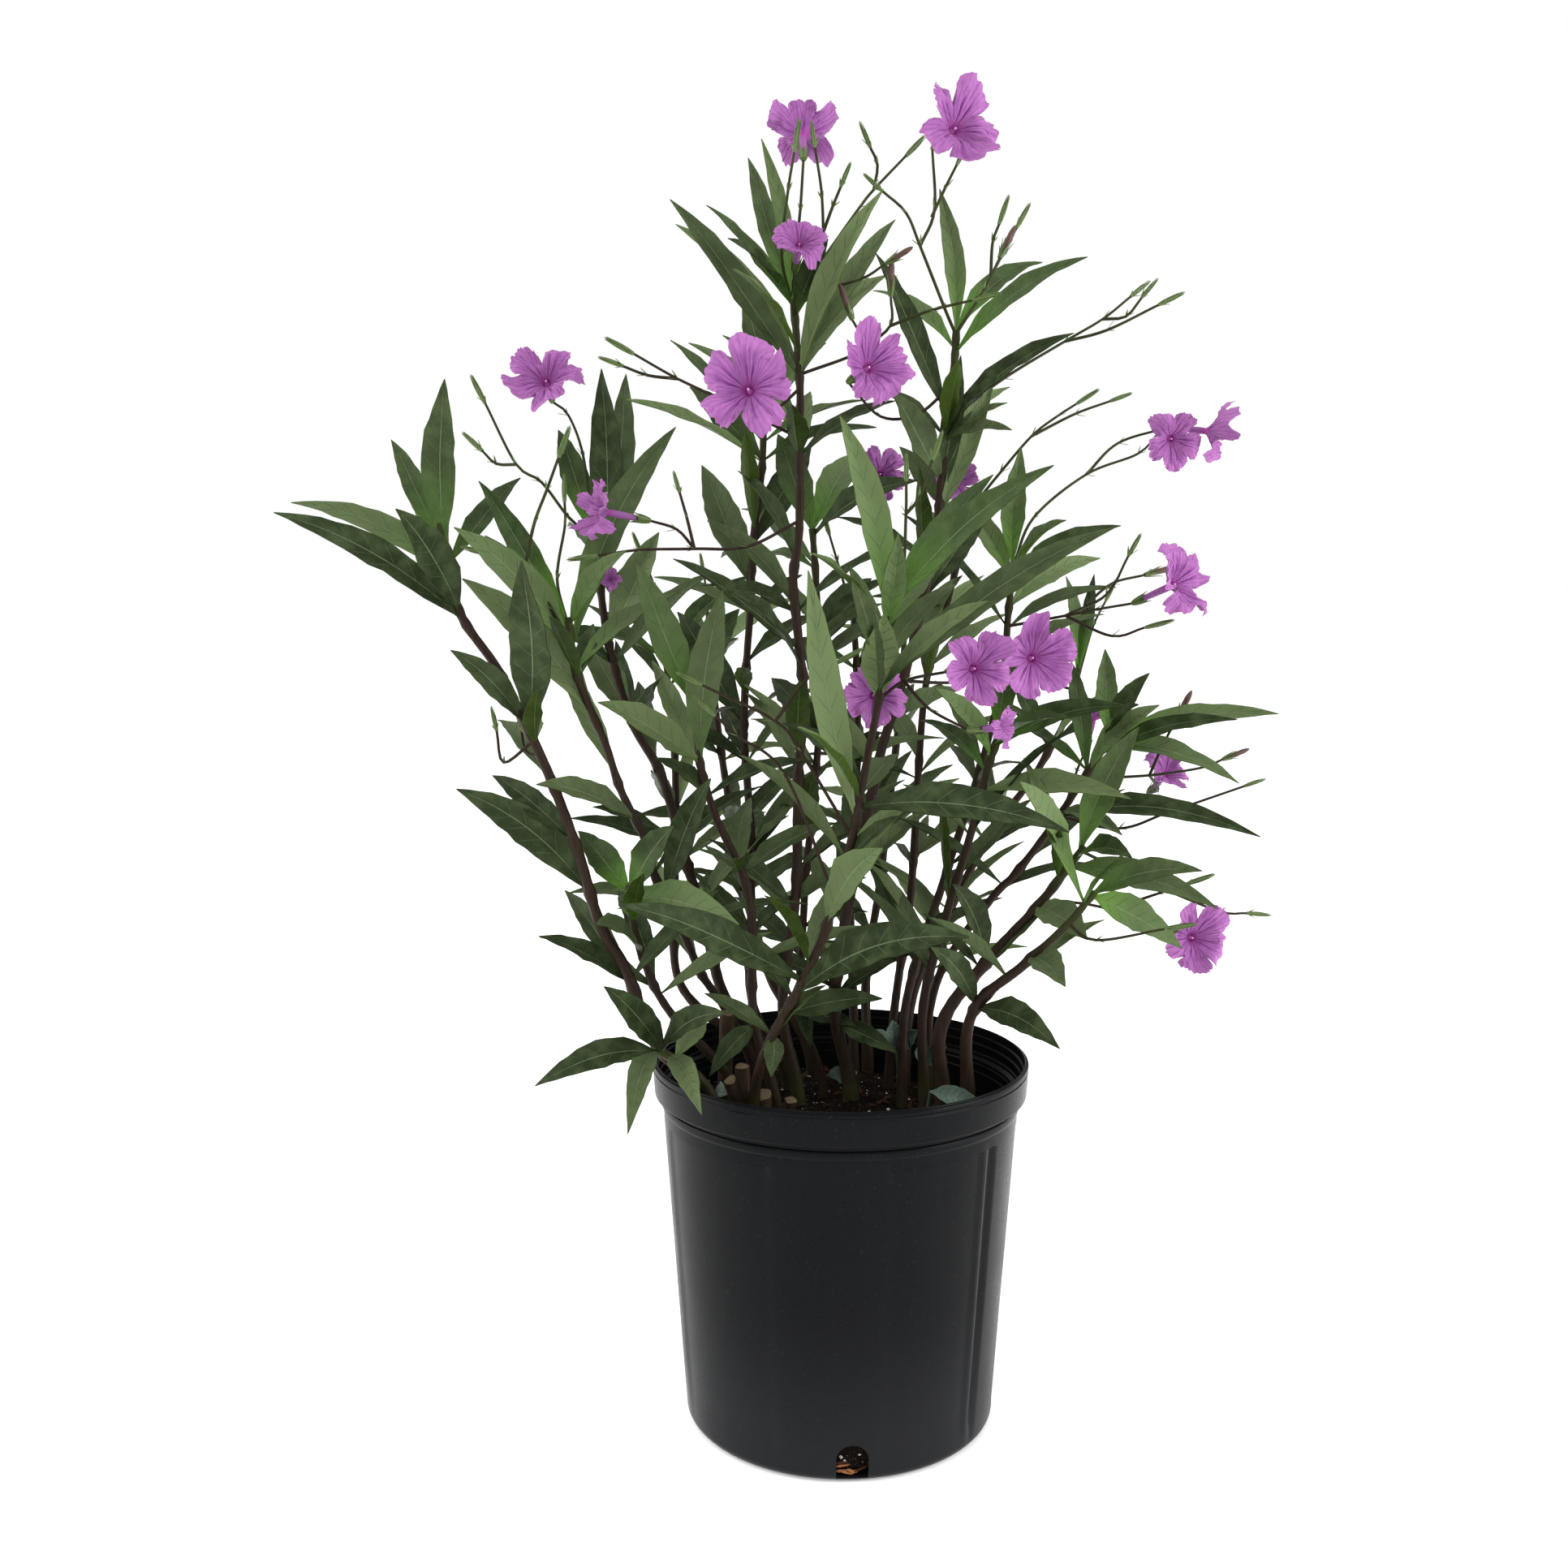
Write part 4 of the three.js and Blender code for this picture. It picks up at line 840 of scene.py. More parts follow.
        (12, 48),
        [(12, 60, 290), (10, 70, 370), (15, 85, 465), (15, 92, 530), (12, 96, 585)],
        [],
        [["bud", (12, 96, 580), (0, 100, 620), (-6, 102, 640)]],
    ),
    "right_back": Stem(
        (38, 34),
        [
            (42, 40, 290), (55, 58, 375), (60, 70, 455), (66, 80, 525), (80, 82, 580), (90, 85, 625),
            (95, 85, 675),
        ],
        [],
        [
            ["bud", (92, 85, 650), (120, 80, 685), (142, 75, 711), (160, 75, 725), (174, 72, 734)],
            ["bud", (142, 75, 711), (175, 85, 728), (202, 90, 738)],
            ["bloom_09", (95, 85, 670), (92, 88, 678)],
        ],
    ),
    "right_upper": Stem(
        (45, -2),
        [(48, 6, 305), (75, 25, 385), (100, 35, 460), (118, 40, 530), (122, 40, 580), (125, 40, 618)],
        [
            (615, 125, 52, 698, 19), (605, 196, 10, 652, 17), (585, 196, 82, 622, 18),
            (605, 82, 30, 667, 19), (610, 142, 0, 645, 16),
        ],
        [
            ["bloom_12", (121, 40, 572), (160, 20, 580), (178, 12, 584)],
            ["bud", (160, 20, 580), (190, 25, 595), (205, 26, 622)],
            ["pod", (175, 22, 588), (196, 35, 603), (220, 40, 609)],
            ["bud", (160, 20, 580), (190, 3, 566), (212, -2, 572)],
            ["bloom_10", (125, 40, 615), (140, 46, 650), (180, 60, 682), (220, 72, 698)],
            ["bloom_11", (180, 60, 682), (206, 76, 706)],
            ["pod", (118, 40, 530), (145, 62, 552), (162, 74, 558)],
        ],
    ),
    "right_fan": Stem(
        (60, -14),
        [(58, -14, 305), (74, -16, 370), (92, -18, 435), (100, -20, 470), (108, -20, 497)],
        [
            (490, 185, -72, 522, 18), (460, 190, -75, 460, 18), (490, 140, -92, 508, 16),
            (495, 115, -40, 562, 17), (480, 60, -66, 542, 17),
        ],
        [],
    ),
    "right_long": Stem(
        (72, -30),
        [(68, -33, 295), (100, -34, 340), (135, -40, 382), (165, -46, 424)],
        [
            (420, 190, -92, 506, 19), (410, 252, -84, 382, 18), (415, 110, -112, 476, 17),
            (415, 192, -112, 418, 16), (380, 160, -102, 368, 23), (340, 70, -92, 406, 17),
        ],
        [
            ["bloom_20", (125, -38, 370), (150, -42, 384), (185, -40, 379), (215, -34, 366)],
            ["bud", (185, -40, 379), (212, -54, 392), (232, -58, 400)],
            ["bud", (164, -46, 420), (210, -38, 398), (262, -30, 376), (282, -28, 374)],
        ],
    ),
    "right_low": Stem(
        (88, -44),
        [(86, -60, 310), (120, -82, 350), (146, -94, 380), (162, -98, 402)],
        [
            (400, 222, -92, 372, 20), (400, 215, -122, 436, 15), (355, 146, -112, 358, 18),
            (315, 136, -102, 306, 18), (315, 55, -102, 366, 16),
        ],
        [["bud", (146, -94, 380), (162, -108, 372), (205, -112, 380)]],
    ),
    "right_reach": Stem(
        (66, 26),
        [(70, 26, 310), (110, 20, 375), (128, 18, 395), (155, 10, 435), (175, 2, 470), (190, -4, 498)],
        [
            (485, 306, 20, 512, 19), (490, 282, 0, 462, 19), (435, 292, -22, 427, 19),
            (495, 185, 0, 557, 17), (470, 212, -52, 512, 18), (480, 262, -62, 512, 15),
            (440, 190, -62, 432, 18), (495, 207, -42, 542, 15), (492, 196, -62, 522, 15),
            (470, 170, 62, 537, 16),
        ],
        [
            ["bud", (156, 10, 437), (200, 12, 428), (236, 12, 440), (290, 16, 458)],
            ["pod", (172, 3, 465), (222, 16, 466), (260, 20, 471), (275, 20, 477)],
            ["pod", (222, 16, 466), (230, 12, 488), (238, 10, 505)],
            ["bloom_18", (160, 8, 443), (172, 28, 468)], ["bloom_19", (222, 16, 466), (236, 48, 452)],
        ],
    ),
    "right_rear": Stem(
        (52, 66),
        [(60, 80, 295), (92, 108, 355), (125, 128, 410), (160, 140, 455), (185, 148, 500), (195, 150, 540)],
        [],
        [
            ["bud", (195, 150, 535), (205, 152, 570), (214, 150, 590)],
            ["bloom_22", (190, 149, 520), (176, 158, 524)],
        ],
    ),
    "back_left": Stem(
        (-20, 92),
        [(-50, 112, 290), (-72, 140, 360), (-88, 165, 445), (-98, 178, 520), (-102, 182, 580)],
        [],
        [["bud", (-102, 182, 575), (-104, 188, 600), (-106, 190, 612)]],
    ),
    "back_right": Stem(
        (25, 95),
        [(24, 118, 290), (36, 148, 360), (48, 175, 445), (56, 188, 520), (58, 192, 560)],
        [],
        [
            ["bloom_21", (54, 184, 500), (50, 176, 497)],
            ["bud", (58, 192, 555), (60, 196, 572), (60, 198, 582)],
        ],
    ),
    "rim_shoot": Stem(
        (-84, -70),
        [(-94, -73, 268), (-112, -79, 284), (-128, -84, 292)],
        [
            (290, -200, -132, 282, 17), (288, -155, -132, 347, 17), (288, -86, -142, 332, 16),
            (288, -92, -156, 280, 14), (289, -134, -160, 274, 14), (284, -95, -60, 300, 14),
        ],
        [],
    ),
}
THIN_STALKS = {
    "tall_centre": [
        ["bud", (20, -10, 866), (22, -18, 880), (17, -22, 890)],
        ["bud", (-110, -58, 735), (-130, -52, 738), (-146, -50, 744)],
    ],
    "left_tall": [["bud", (-225, -6, 684), (-240, 0, 685), (-250, 4, 694)]],
    "tall_right": [
        ["bud", (100, -8, 810), (100, -15, 830), (104, -16, 842)],
        ["bud", (182, 20, 786), (196, 10, 786), (206, 8, 798)],
    ],
    "front": [["bud", (36, -112, 645), (44, -114, 655), (52, -114, 678)]],
}
print("stems:", len(STEMS), "stalks:", sum(len(stem.stalks) for stem in STEMS.values()))

# %% [markdown]
# A bloom has the middle of its mouth, the way that it faces, its radius, the length of its tube and its
# turn about its own axis in degrees.

# %% Blooms
Bloom = namedtuple("Bloom", "mouth faces radius tube turn")
BLOOMS = {
    "bloom_01": Bloom((-28, -30, 900), (0, 0.75, 0.65), 25, 32, 18),
    "bloom_02": Bloom((76, -42, 901), (0.4, -0.88, 0.18), 31, 30, 65),
    "bloom_03": Bloom((-30, -74, 821), (0.1, -0.85, 0.45), 20, 24, 18),
    "bloom_04": Bloom((-205, -8, 745), (-0.05, -1, 0.5), 30, 24, 68),
    "bloom_05": Bloom((-65, -112, 725), (-0.2, -0.97, 0.22), 34, 32, 12),
    "bloom_06": Bloom((18, -82, 742), (0.42, -0.87, 0.2), 29, 28, 35),
    "bloom_07": Bloom((-165, -66, 650), (-0.85, -0.45, 0.15), 22, 30, 18),
    "bloom_08": Bloom((28, 12, 680), (0.1, -1, 0.1), 21, 24, 50),
    "bloom_09": Bloom((80, 42, 678), (-0.1, -1, 0.1), 21, 26, 10),
    "bloom_10": Bloom((240, 42, 705), (0.12, -0.95, -0.22), 24, 26, 60),
    "bloom_11": Bloom((278, 60, 712), (0.95, -0.4, -0.15), 26, 28, 20),
    "bloom_12": Bloom((234, -24, 605), (0.62, -0.7, 0.35), 30, 36, 22),
    "bloom_13": Bloom((-160, -18, 606), (0.1, -0.9, 0.4), 9, 10, 0),
    "bloom_14": Bloom((79, -147, 550), (0.22, -0.95, 0.08), 27, 30, 52),
    "bloom_15": Bloom((118, -126, 556), (0.2, -0.95, 0.1), 28, 30, 25),
    "bloom_16": Bloom((96, -152, 514), (0.85, -0.5, 0.1), 14, 16, 40),
    "bloom_17": Bloom((20, -72, 530), (0.1, -1, 0.2), 24, 22, 54),
    "bloom_18": Bloom((192, 62, 512), (0.3, 0.2, 1), 23, 28, 30),
    "bloom_19": Bloom((247, 58, 466), (0.3, -0.7, 0.6), 21, 24, 60),
    "bloom_20": Bloom((236, -78, 366), (0.2, -0.97, 0.08), 27, 28, 48),
    "bloom_21": Bloom((35, 208, 514), (-0.1, 1, 0.3), 25, 28, 5),
    "bloom_22": Bloom((167, 208, 545), (0.2, 1, 0.35), 25, 28, 45),
}
print("blooms:", len(BLOOMS))

# %% [markdown]
# ## Stems and stalks
# A stem is a thin rod, swollen where each pair of leaves joins it, and thickest at the soil. Each one is
# a curve through the CAD's points, given a round section and a radius at every point, and then made a
# mesh. A curve keeps the rod even round its bends, which an extruded circle wouldn't. Its bends near
# the soil are eased by a few millimetres, and it is a little thicker than the CAD's.

# %% Smooth lines
STEP = 5
FOOT_DEPTH, SOIL_TOP = 172.3, 243
SWELLING, SWELLING_TALL = 0.34, 3.4
PAIRS_FROM, PAIRS_APART, TOP_CLEAR = 325, 72, 14
EASED_BELOW, EASED_OVER, EASING = 345, 40, 16
WANDER, WANDER_LONG = 0.4, 30


def smooth_line(points):
    """Points on a smooth curve through the given ones, about a step apart."""
    points = [Vector(p) for p in points]
    padded = [2 * points[0] - points[1], *points, 2 * points[-1] - points[-2]]
    line = []
    for a, b, c, d in zip(padded, padded[1:], padded[2:], padded[3:]):
        count = max(2, round((c - b).length / STEP))
        for k in range(count):
            t = k / count
            bend = (2 * a - 5 * b + 4 * c - d) * t * t + (3 * b - a - 3 * c + d) * t**3
            line.append(0.5 * (2 * b + (c - a) * t + bend))
    return line + [points[-1]]


def cad_line(stem):
    """The CAD's axis of a stem: its foot in the soil, then its route."""
    return [Vector((*stem.foot, z)) for z in (FOOT_DEPTH, SOIL_TOP)] + [Vector(p) for p in stem.route]


def at_height(line, height):
    """The point at a height on a line that climbs."""
    above = next((k for k, p in enumerate(line) if k > 0 and p.z >= height), 1)
    low, high = line[above - 1], line[above]
    return low.lerp(high, min(1, (height - low.z) / (high.z - low.z)))


def swollen(height, joints):
    return 1 + SWELLING * sum(math.exp(-(((height - joint) / SWELLING_TALL) ** 2)) for joint in joints)


def joints_of(stem):
    """The heights where pairs of leaves join, one for each cluster of leaves and in between."""
    by_rule = range(PAIRS_FROM, int(stem.route[-1][2]) - TOP_CLEAR, PAIRS_APART)
    heights = sorted({row[0] for row in stem.leaves} | set(by_rule))
    return [h for i, h in enumerate(heights) if i == 0 or h - heights[i - 1] > 9]


def eased(line):
    """The line with its bends near the soil rounded, as a cane curves, and wandering a little."""
    for _ in range(EASING):
        inner = []
        for before, here, after in zip(line, line[1:], line[2:]):
            share = 0.5 * min(1, max(0, (EASED_BELOW - here.z) / EASED_OVER))
            inner.append(here.lerp((before + after) / 2, share))
        line = [line[0], *inner, line[-1]]
    return [p + WANDER * noise.noise_vector(p / WANDER_LONG) for p in line]


print("a stem's joints:", joints_of(STEMS["tall_centre"]))

# %% [markdown]
# The old wood is dark purple-brown with fine streaks along it. It turns olive green near a stem's tip,
# and some canes are olive at the foot too. The wiry stalks are thinner and browner green. How green a
# point is, is kept on the mesh as a number that the finish reads.

# %% Stem finishes


def stem_finish(name, old, streak, young):
    made, tree, shader = start_finish(name, Roughness=0.6, Specular_IOR_Level=0.1)
    lines, patches = grain(tree, 500, 3, (1, 1, 0.08)), grain(tree, 60, 2)
    age = fade(kept_number(tree, "young"), 0.1, 1.0)
    colour = mix(age, mix(lines, old, streak), mix(patches, young, old))
    feed(shader, Base_Color=colour, Roughness=fade(patches, 0.3, 0.7, 0.42, 0.6))
    bumps(shader, lines, 0.0003)
    return made


old_wood = stem_finish("purple_brown_stem", "19120d", "382a20", "3c4620")
wire = stem_finish("olive_stalk", "2a1d15", "3f3520", "4f5c29")
print("stem finishes:", old_wood.name, wire.name)

# %% Stems and stalks as curves
STEM_FOOT, STEM_TIP = 3.8, 2.4
STALK_ROOT, STALK_TIP = 1.15, 0.85
FLARE, FLARE_TALL, KNOBS = 0.3, 34, 0.12
OLIVE_TALL, YOUNG_TALL, SURFACE = 45, 70, 225
HIDDEN_BELOW = 205
THICK_CANES = {"right_long": 1.5, "right_low": 1.3, "rim_left": 1.2, "left_tall": 1.25, "tall_right": 1.3}
CALYX, CALYX_GAP = 10, 0.3
thickness_draw = draws_from(61)


def keep_number(made, name, values):
    """Keeps a number for each point on the mesh, under a name that a finish can read."""
    made.data.attributes.new(name, "FLOAT", "POINT").data.foreach_set("value", values)


def rods_piece(name, rods, finishes, resolution):
    """Round rods as one mesh. Each has its line, its radii in millimetres and its finish's number."""
    curve = bpy.data.curves.new(name, "CURVE")
    curve.dimensions = "3D"
    curve.bevel_depth = MM
    curve.bevel_resolution = resolution
    curve.use_fill_caps = True
    for line, radii, finish in rods:
        spline = curve.splines.new("POLY")
        spline.points.add(len(line) - 1)
        for point, place, radius in zip(spline.points, line, radii):
            point.co = (*(place * MM), 1)
            point.radius = radius
        spline.material_index = finish
        spline.use_smooth = True
    for finish in finishes:
        curve.materials.append(finish)
    made = bpy.data.objects.new(name, curve)
    bpy.context.collection.objects.link(made)
    alone(made)
    bpy.ops.object.convert(target="MESH")
    return active_mesh(name)


def facing_of(bloom):
    return Vector(bloom.faces).normalized()


def stalk_points(stalk):
    """A stalk's points and the way that its head looks."""
    ending, *path = stalk
    points = [Vector(p) for p in path]
    if ending not in BLOOMS:
        return points, (points[-1] - points[-2]).normalized()
    bloom = BLOOMS[ending]
    way = facing_of(bloom)
    return [*points, Vector(bloom.mouth) - way * (bloom.tube + CALYX_GAP + CALYX)], way


def make_rods(name, stem):
    thick, olive = 0.85 + 0.25 * thickness_draw(), 0.75 * thickness_draw()
    stem_foot = STEM_FOOT * THICK_CANES.get(name, thick)
    line = eased([p for p in smooth_line(cad_line(stem)) if p.z > HIDDEN_BELOW])
    joints = joints_of(stem)
    radii = []
    for k, p in enumerate(line):
        taper = stem_foot + (STEM_TIP - stem_foot) * k / len(line)
        flare = 1 + FLARE * math.exp(-(((p.z - SURFACE) / FLARE_TALL) ** 2))
        radii.append(taper * flare * swollen(p.z, joints) * (1 + KNOBS * noise.noise(p / 6)))
    rods = [(line, radii, 0)]
    for stalk in stem.stalks:
        path = smooth_line(stalk_points(stalk)[0])
        radii = [STALK_ROOT + (STALK_TIP - STALK_ROOT) * k / len(path) for k in range(len(path))]
        rods.append((path, radii, 1))
    made = rods_piece("stems_" + name, rods, [old_wood, wire], 2)
    heights = points_of(made)[:, 2]
    ages = np.clip((heights - stem.route[-1][2] + YOUNG_TALL) / YOUNG_TALL, 0, 1) * 0.9
    keep_number(made, "young", np.maximum(ages, olive * np.exp(-(((heights - SURFACE) / OLIVE_TALL) ** 2))))
    smooth(made, 60)
    return made


rods = {}
for name, stem in STEMS.items():
    stem.stalks.extend(THIN_STALKS.get(name, []))
    rods[name] = make_rods(name, stem)
print("rods:", len(rods), "faces:", sum(len(made.data.polygons) for made in rods.values()))

# %% [markdown]
# ## Buds, pods and calyxes
# Each stalk ends in a bud, a brown seed pod, or the green calyx that a bloom sits in. All three have five
# narrow sepals. One sepal is a small grid narrowed row by row and keeled, and copies of it are
# wrapped round a turned core.

# %% One sepal
SEPAL_SHAPE = [(0, 0.8), (0.3, 1), (0.6, 0.75), (0.85, 0.35), (1, 0.05)]


def between(share, rows):
    """The value at a share along a table of (share, value) rows."""
    return np.interp(share, *zip(*rows))


def narrowed_grid(name, columns, rows, shape=()):
    """A grid a millimetre wide and long, from its foot at the origin along +Y, narrowed row by row."""
    alone()
    bpy.ops.mesh.primitive_grid_add(x_subdivisions=columns, y_subdivisions=rows, size=MM, calc_uvs=True)
    made = active_mesh(name)
    bpy.ops.object.mode_set(mode="EDIT")
    bpy.ops.mesh.select_all(action="SELECT")
    bpy.ops.transform.translate(value=(0, MM / 2, 0))
    bpy.ops.mesh.select_all(action="DESELECT")
    bpy.ops.object.mode_set(mode="OBJECT")
    for y in sorted({round(v.co.y / MM, 4) for v in made.data.vertices}) if shape else ():
        for v in made.data.vertices:
            v.select = abs(v.co.y / MM - y) < 1e-3
        bpy.ops.object.mode_set(mode="EDIT")
        bpy.ops.mesh.select_mode(type="VERT")
        bpy.ops.transform.resize(value=(between(y, shape), 1, 1), center_override=(0, y * MM, 0))
        bpy.ops.object.mode_set(mode="OBJECT")
        for part in (*made.data.polygons, *made.data.edges):
            part.select = False
    return made


sepal = narrowed_grid("sepal_pattern", 2, 5, SEPAL_SHAPE)
print("sepal faces:", len(sepal.data.polygons))

# %% Green and brown heads
green = two_tone("sepal_green", "33451c", "5a7030", (420, 3, (1, 1, 0.2)), 0.0004, Roughness=0.5)
husk = two_tone("brown_husk", "37231c", "5f4033", (380, 4, (1, 1, 0.25)), 0.0005, Roughness=0.6)
KEEL, SEPAL_FOOT, SEPAL_THICK = 0.5, 0.2, 0.35


def head(name, core_profile, core_finish, length, width, radii):
    """A turned core with five sepals round it, standing along +Z from the origin."""
    core = turned(name + "_core", core_profile, 10)
    core.data.materials.append(core_finish)
    sepals = []
    for k in range(5):
        made = copy_of(sepal)
        flat = points_of(made)
        out = between(flat[:, 1], radii) + KEEL * (1 - 2 * np.abs(flat[:, 0]))
        across = flat[:, 0] * width
        cos, sin = math.cos(k * 2 * math.pi / 5), math.sin(k * 2 * math.pi / 5)
        placed = [out * cos - across * sin, out * sin + across * cos, flat[:, 1] * length + SEPAL_FOOT]
        set_points(made, np.stack(placed, axis=1))
        made.data.materials.append(green)
        sepals.append(made)
    ring = joined(name + "_sepals", sepals)
    apply_modifier(ring, "SOLIDIFY", thickness=SEPAL_THICK * MM, offset=0)
    whole = joined(name, [core, ring])
    smooth(whole, 50)
    return whole


BUD_CORE = [(0, 0), (0.9, 0.4), (1.4, 4), (1.7, 8), (1.5, 12), (0.9, 16.5), (0.3, 20), (0, 20.5)]
POD_CORE = [(0, 0), (1.3, 0.4), (1.8, 4), (2.4, 12), (2.5, 18), (1.7, 22), (0.6, 23.8), (0, 24.2)]
CALYX_CORE = [(0, -0.6), (0.9, -0.4), (1.5, 1), (2.3, 4), (2.3, 9.5), (0, 9.7)]
head_patterns = {
    "bud": head("bud", BUD_CORE, green, 19, 1.9, [(0, 0.8), (0.3, 1.6), (0.6, 1.5), (1, 0.7)]),
    "pod": head("pod", POD_CORE, husk, 13, 2.3, [(0, 1.2), (0.3, 2.2), (0.7, 3), (1, 4.2)]),
    "calyx": head("calyx", CALYX_CORE, green, 14, 2.3, [(0, 1.2), (0.3, 2.4), (0.7, 2.7), (1, 3.3)]),
}
print({name: len(made.data.polygons) for name, made in head_patterns.items()})

# %% [markdown]
# A stalk also carries pairs of tiny pointed bracts at its forks, which make it look wiry. They are
# single sepals, small and leaning out.

# %% Heads and bracts on their stalks
BRACT_WIDE, BRACT_LEAN, BRACT_THICK = 1.5, 0.55, 0.2
SLIM_HEAD = 0.85
draw = draws_from(83)
bract = copy_of(sepal, Matrix.Rotation(math.pi / 2, 4, "X"))
bract.data.materials.append(green)
apply_modifier(bract, "SOLIDIFY", thickness=BRACT_THICK * MM, offset=0)

heads = {}
for name, stem in STEMS.items():
    parts = []
    for stalk in stem.stalks:
        points, way = stalk_points(stalk)
        kind = stalk[0] if stalk[0] in head_patterns else "calyx"
        size = 1 if kind == "calyx" else 0.82 + 0.26 * draw()
        thick = size if kind == "calyx" else SLIM_HEAD * size
        place = placing(points[-1], way, (thick, thick, size), 2 * math.pi * draw())
        parts.append(copy_of(head_patterns[kind], place))
        for point, after in zip(points[1:], points[2:] + [points[-1] + 9 * way]):
            along = (after - point).normalized()
            side = along.cross(Vector(any_way())).normalized()
            for hand in (1, -1):
                size = (BRACT_WIDE, BRACT_WIDE * 1.2, 4 + 5 * draw())
                parts.append(copy_of(bract, placing(point, along + hand * BRACT_LEAN * side, size)))
    if parts:
        heads[name] = joined("heads_" + name, parts)
remove(bract, sepal, *head_patterns.values())
print("stems with heads:", len(heads), "faces:", sum(len(h.data.polygons) for h in heads.values()))

# %% [markdown]
# ## Leaves
# A leaf is long and narrow, widest below its middle, dark green above and grey-green below, with a pale
# midrib and fine side veins. It is modelled once as a flat grid narrowed row by row, and its UV
# map runs across and along it, so that the veins follow it wherever it bends.

# %% One leaf
LEAF_COLUMNS, LEAF_ROWS = 4, 14
LEAF_SHAPE = [
    (0, 0.1), (0.05, 0.15), (0.1, 0.3), (0.17, 0.55), (0.25, 0.8), (0.33, 0.96), (0.4, 1),
    (0.5, 0.97), (0.6, 0.87), (0.7, 0.71), (0.8, 0.51), (0.9, 0.27), (0.96, 0.12), (1, 0.02),
]
leaf = narrowed_grid("leaf_pattern", LEAF_COLUMNS, LEAF_ROWS, LEAF_SHAPE)
print("leaf faces:", len(leaf.data.polygons), "points:", len(leaf.data.vertices))

# %% [markdown]
# The upper face and the lower face have finishes of their own, and each leaf keeps two numbers: its tone,
# so that no two are quite alike, and how young it is, because the newest leaves are bright green
# where they meet the stem.

# %% Leaf finishes
SIDE_VEINS, VEIN_SLANT = 9, 0.22


def sheet_parts(tree):
    """Across and along a leaf or a bloom's sheet, from its UV map."""
    return parts_of(add_node(tree, "ShaderNodeUVMap").outputs[0])[:2]


def leaf_finish(name, dark, light, fresh, rib, rough, rib_lift):
    made, tree, shader = start_finish(name, Specular_IOR_Level=0.12)
    side, along = sheet_parts(tree)
    across = apart(side, 0.5)
    midrib = fade(across, 0.008, 0.028, 1, 0)
    slanted = maths("SUBTRACT", along, times(across, VEIN_SLANT))
    near = apart(maths("FRACT", times(slanted, SIDE_VEINS)), 0.5)
    veins = times(fade(near, 0.0, 0.06, 1, 0), fade(across, 0.3, 0.47, 1, 0))
    mottle = grain(tree, 90, 4)
    base = times(kept_number(tree, "young"), fade(along, 0.05, 0.5, 1, 0.1))
    colour = mix(maths("POWER", kept_number(tree, "tone"), 2.1), dark, light)
    colour = mix(fade(mottle, 0.35, 0.75, 0, 0.25), colour, light)
    colour = mix(base, colour, fresh)
    colour = mix(times(veins, 0.2), colour, rib)
    colour = mix(times(midrib, 0.4), colour, rib)
    gloss = fade(mottle, 0.3, 0.7, rough - 0.04, rough + 0.08)
    feed(shader, Base_Color=colour, Roughness=gloss)
    relief = times(plus(veins, midrib), rib_lift)
    bumps(shader, plus(relief, times(grain(tree, 420, 3), 0.5)), 0.0005)
    return made


leaf_top = leaf_finish("leaf_upper_face", "101b05", "41561b", "4a7c18", "7b9459", 0.42, -1)
leaf_under = leaf_finish("leaf_lower_face", "232f17", "687950", "5e8c2f", "94a67e", 0.6, 1)
leaf.data.materials.append(leaf_top)
leaf.data.materials.append(leaf_under)
print("leaf finishes:", leaf_top.name, leaf_under.name)

# %% [markdown]
# Blender's bend tool needs a window, and a hundred Curve modifiers would be slow, so each copy is
# laid along its midrib in code: an arch from the stem to the tip that sways a little to one side, with
# the blade folded at the rib, waved at its edges and twisted. Some stems have slimmer leaves.

# %% Laying a leaf
ARCH, FOLD, WAVE, RIPPLE, FRILL = 0.14, 0.19, 0.09, 0.05, 0.05
SLIMMER, SWAY = 0.9, 0.045
SLENDER = {"tall_centre": 0.8, "tall_right": 0.82, "right_reach": 0.8, "right_upper": 0.8, "right_fan": 0.85}
LARGE_RINGS, SMALL_RINGS = [0.08, 0.33, 0.6, 0.83], [0.1, 0.42, 0.76]
flat_leaf = points_of(leaf)


def lay_leaf(root, tip, width, facing, waves, rings, tone, young, twist, slim=1.0):
    """A copy of the leaf along an arch from its root to its tip."""
    root, tip = Vector(root), Vector(tip)
    length = (tip - root).length
    bend = root.lerp(tip, 0.5) + UP * ARCH * length
    across = facing.cross(tip - root).normalized()
    sway = SWAY * length * math.sin(40 * tone)
    placed = np.empty_like(flat_leaf)
    for i, (x, y, _) in enumerate(flat_leaf.tolist()):
        middle = (1 - y) ** 2 * root + 2 * (1 - y) * y * bend + y * y * tip
        middle += across * (sway * math.sin(math.pi * y) * (1 - 0.6 * y))
        way = ((1 - y) * (bend - root) + y * (tip - bend)).normalized()
        side = (across - across.dot(way) * way).normalized()
        over = way.cross(side)
        cos, sin = math.cos(twist * (y - 0.25)), math.sin(twist * (y - 0.25))
        side, over = side * cos + over * sin, over * cos - side * sin
        hand = 0 if x > 0 else 1
        wave = np.interp(y, [0, *rings, 1], [0, *waves[hand : 2 * len(rings) : 2], 0])
        ripple = RIPPLE * math.sin(19 * y + 6 * tone + 3 * hand)
        lift = 2 * abs(x) * width * (FOLD + WAVE * float(wave) + ripple)
        frill = 1 + FRILL * math.sin(37 * y + 9 * tone + 2 * hand)
        placed[i] = middle + side * (x * width * SLIMMER * slim * frill) + over * lift
    made = copy_of(leaf)
    set_points(made, placed)
    keep_number(made, "tone", np.full(len(placed), tone))
    keep_number(made, "young", np.full(len(placed), young))
    return made


print("rings of a large leaf:", LARGE_RINGS)

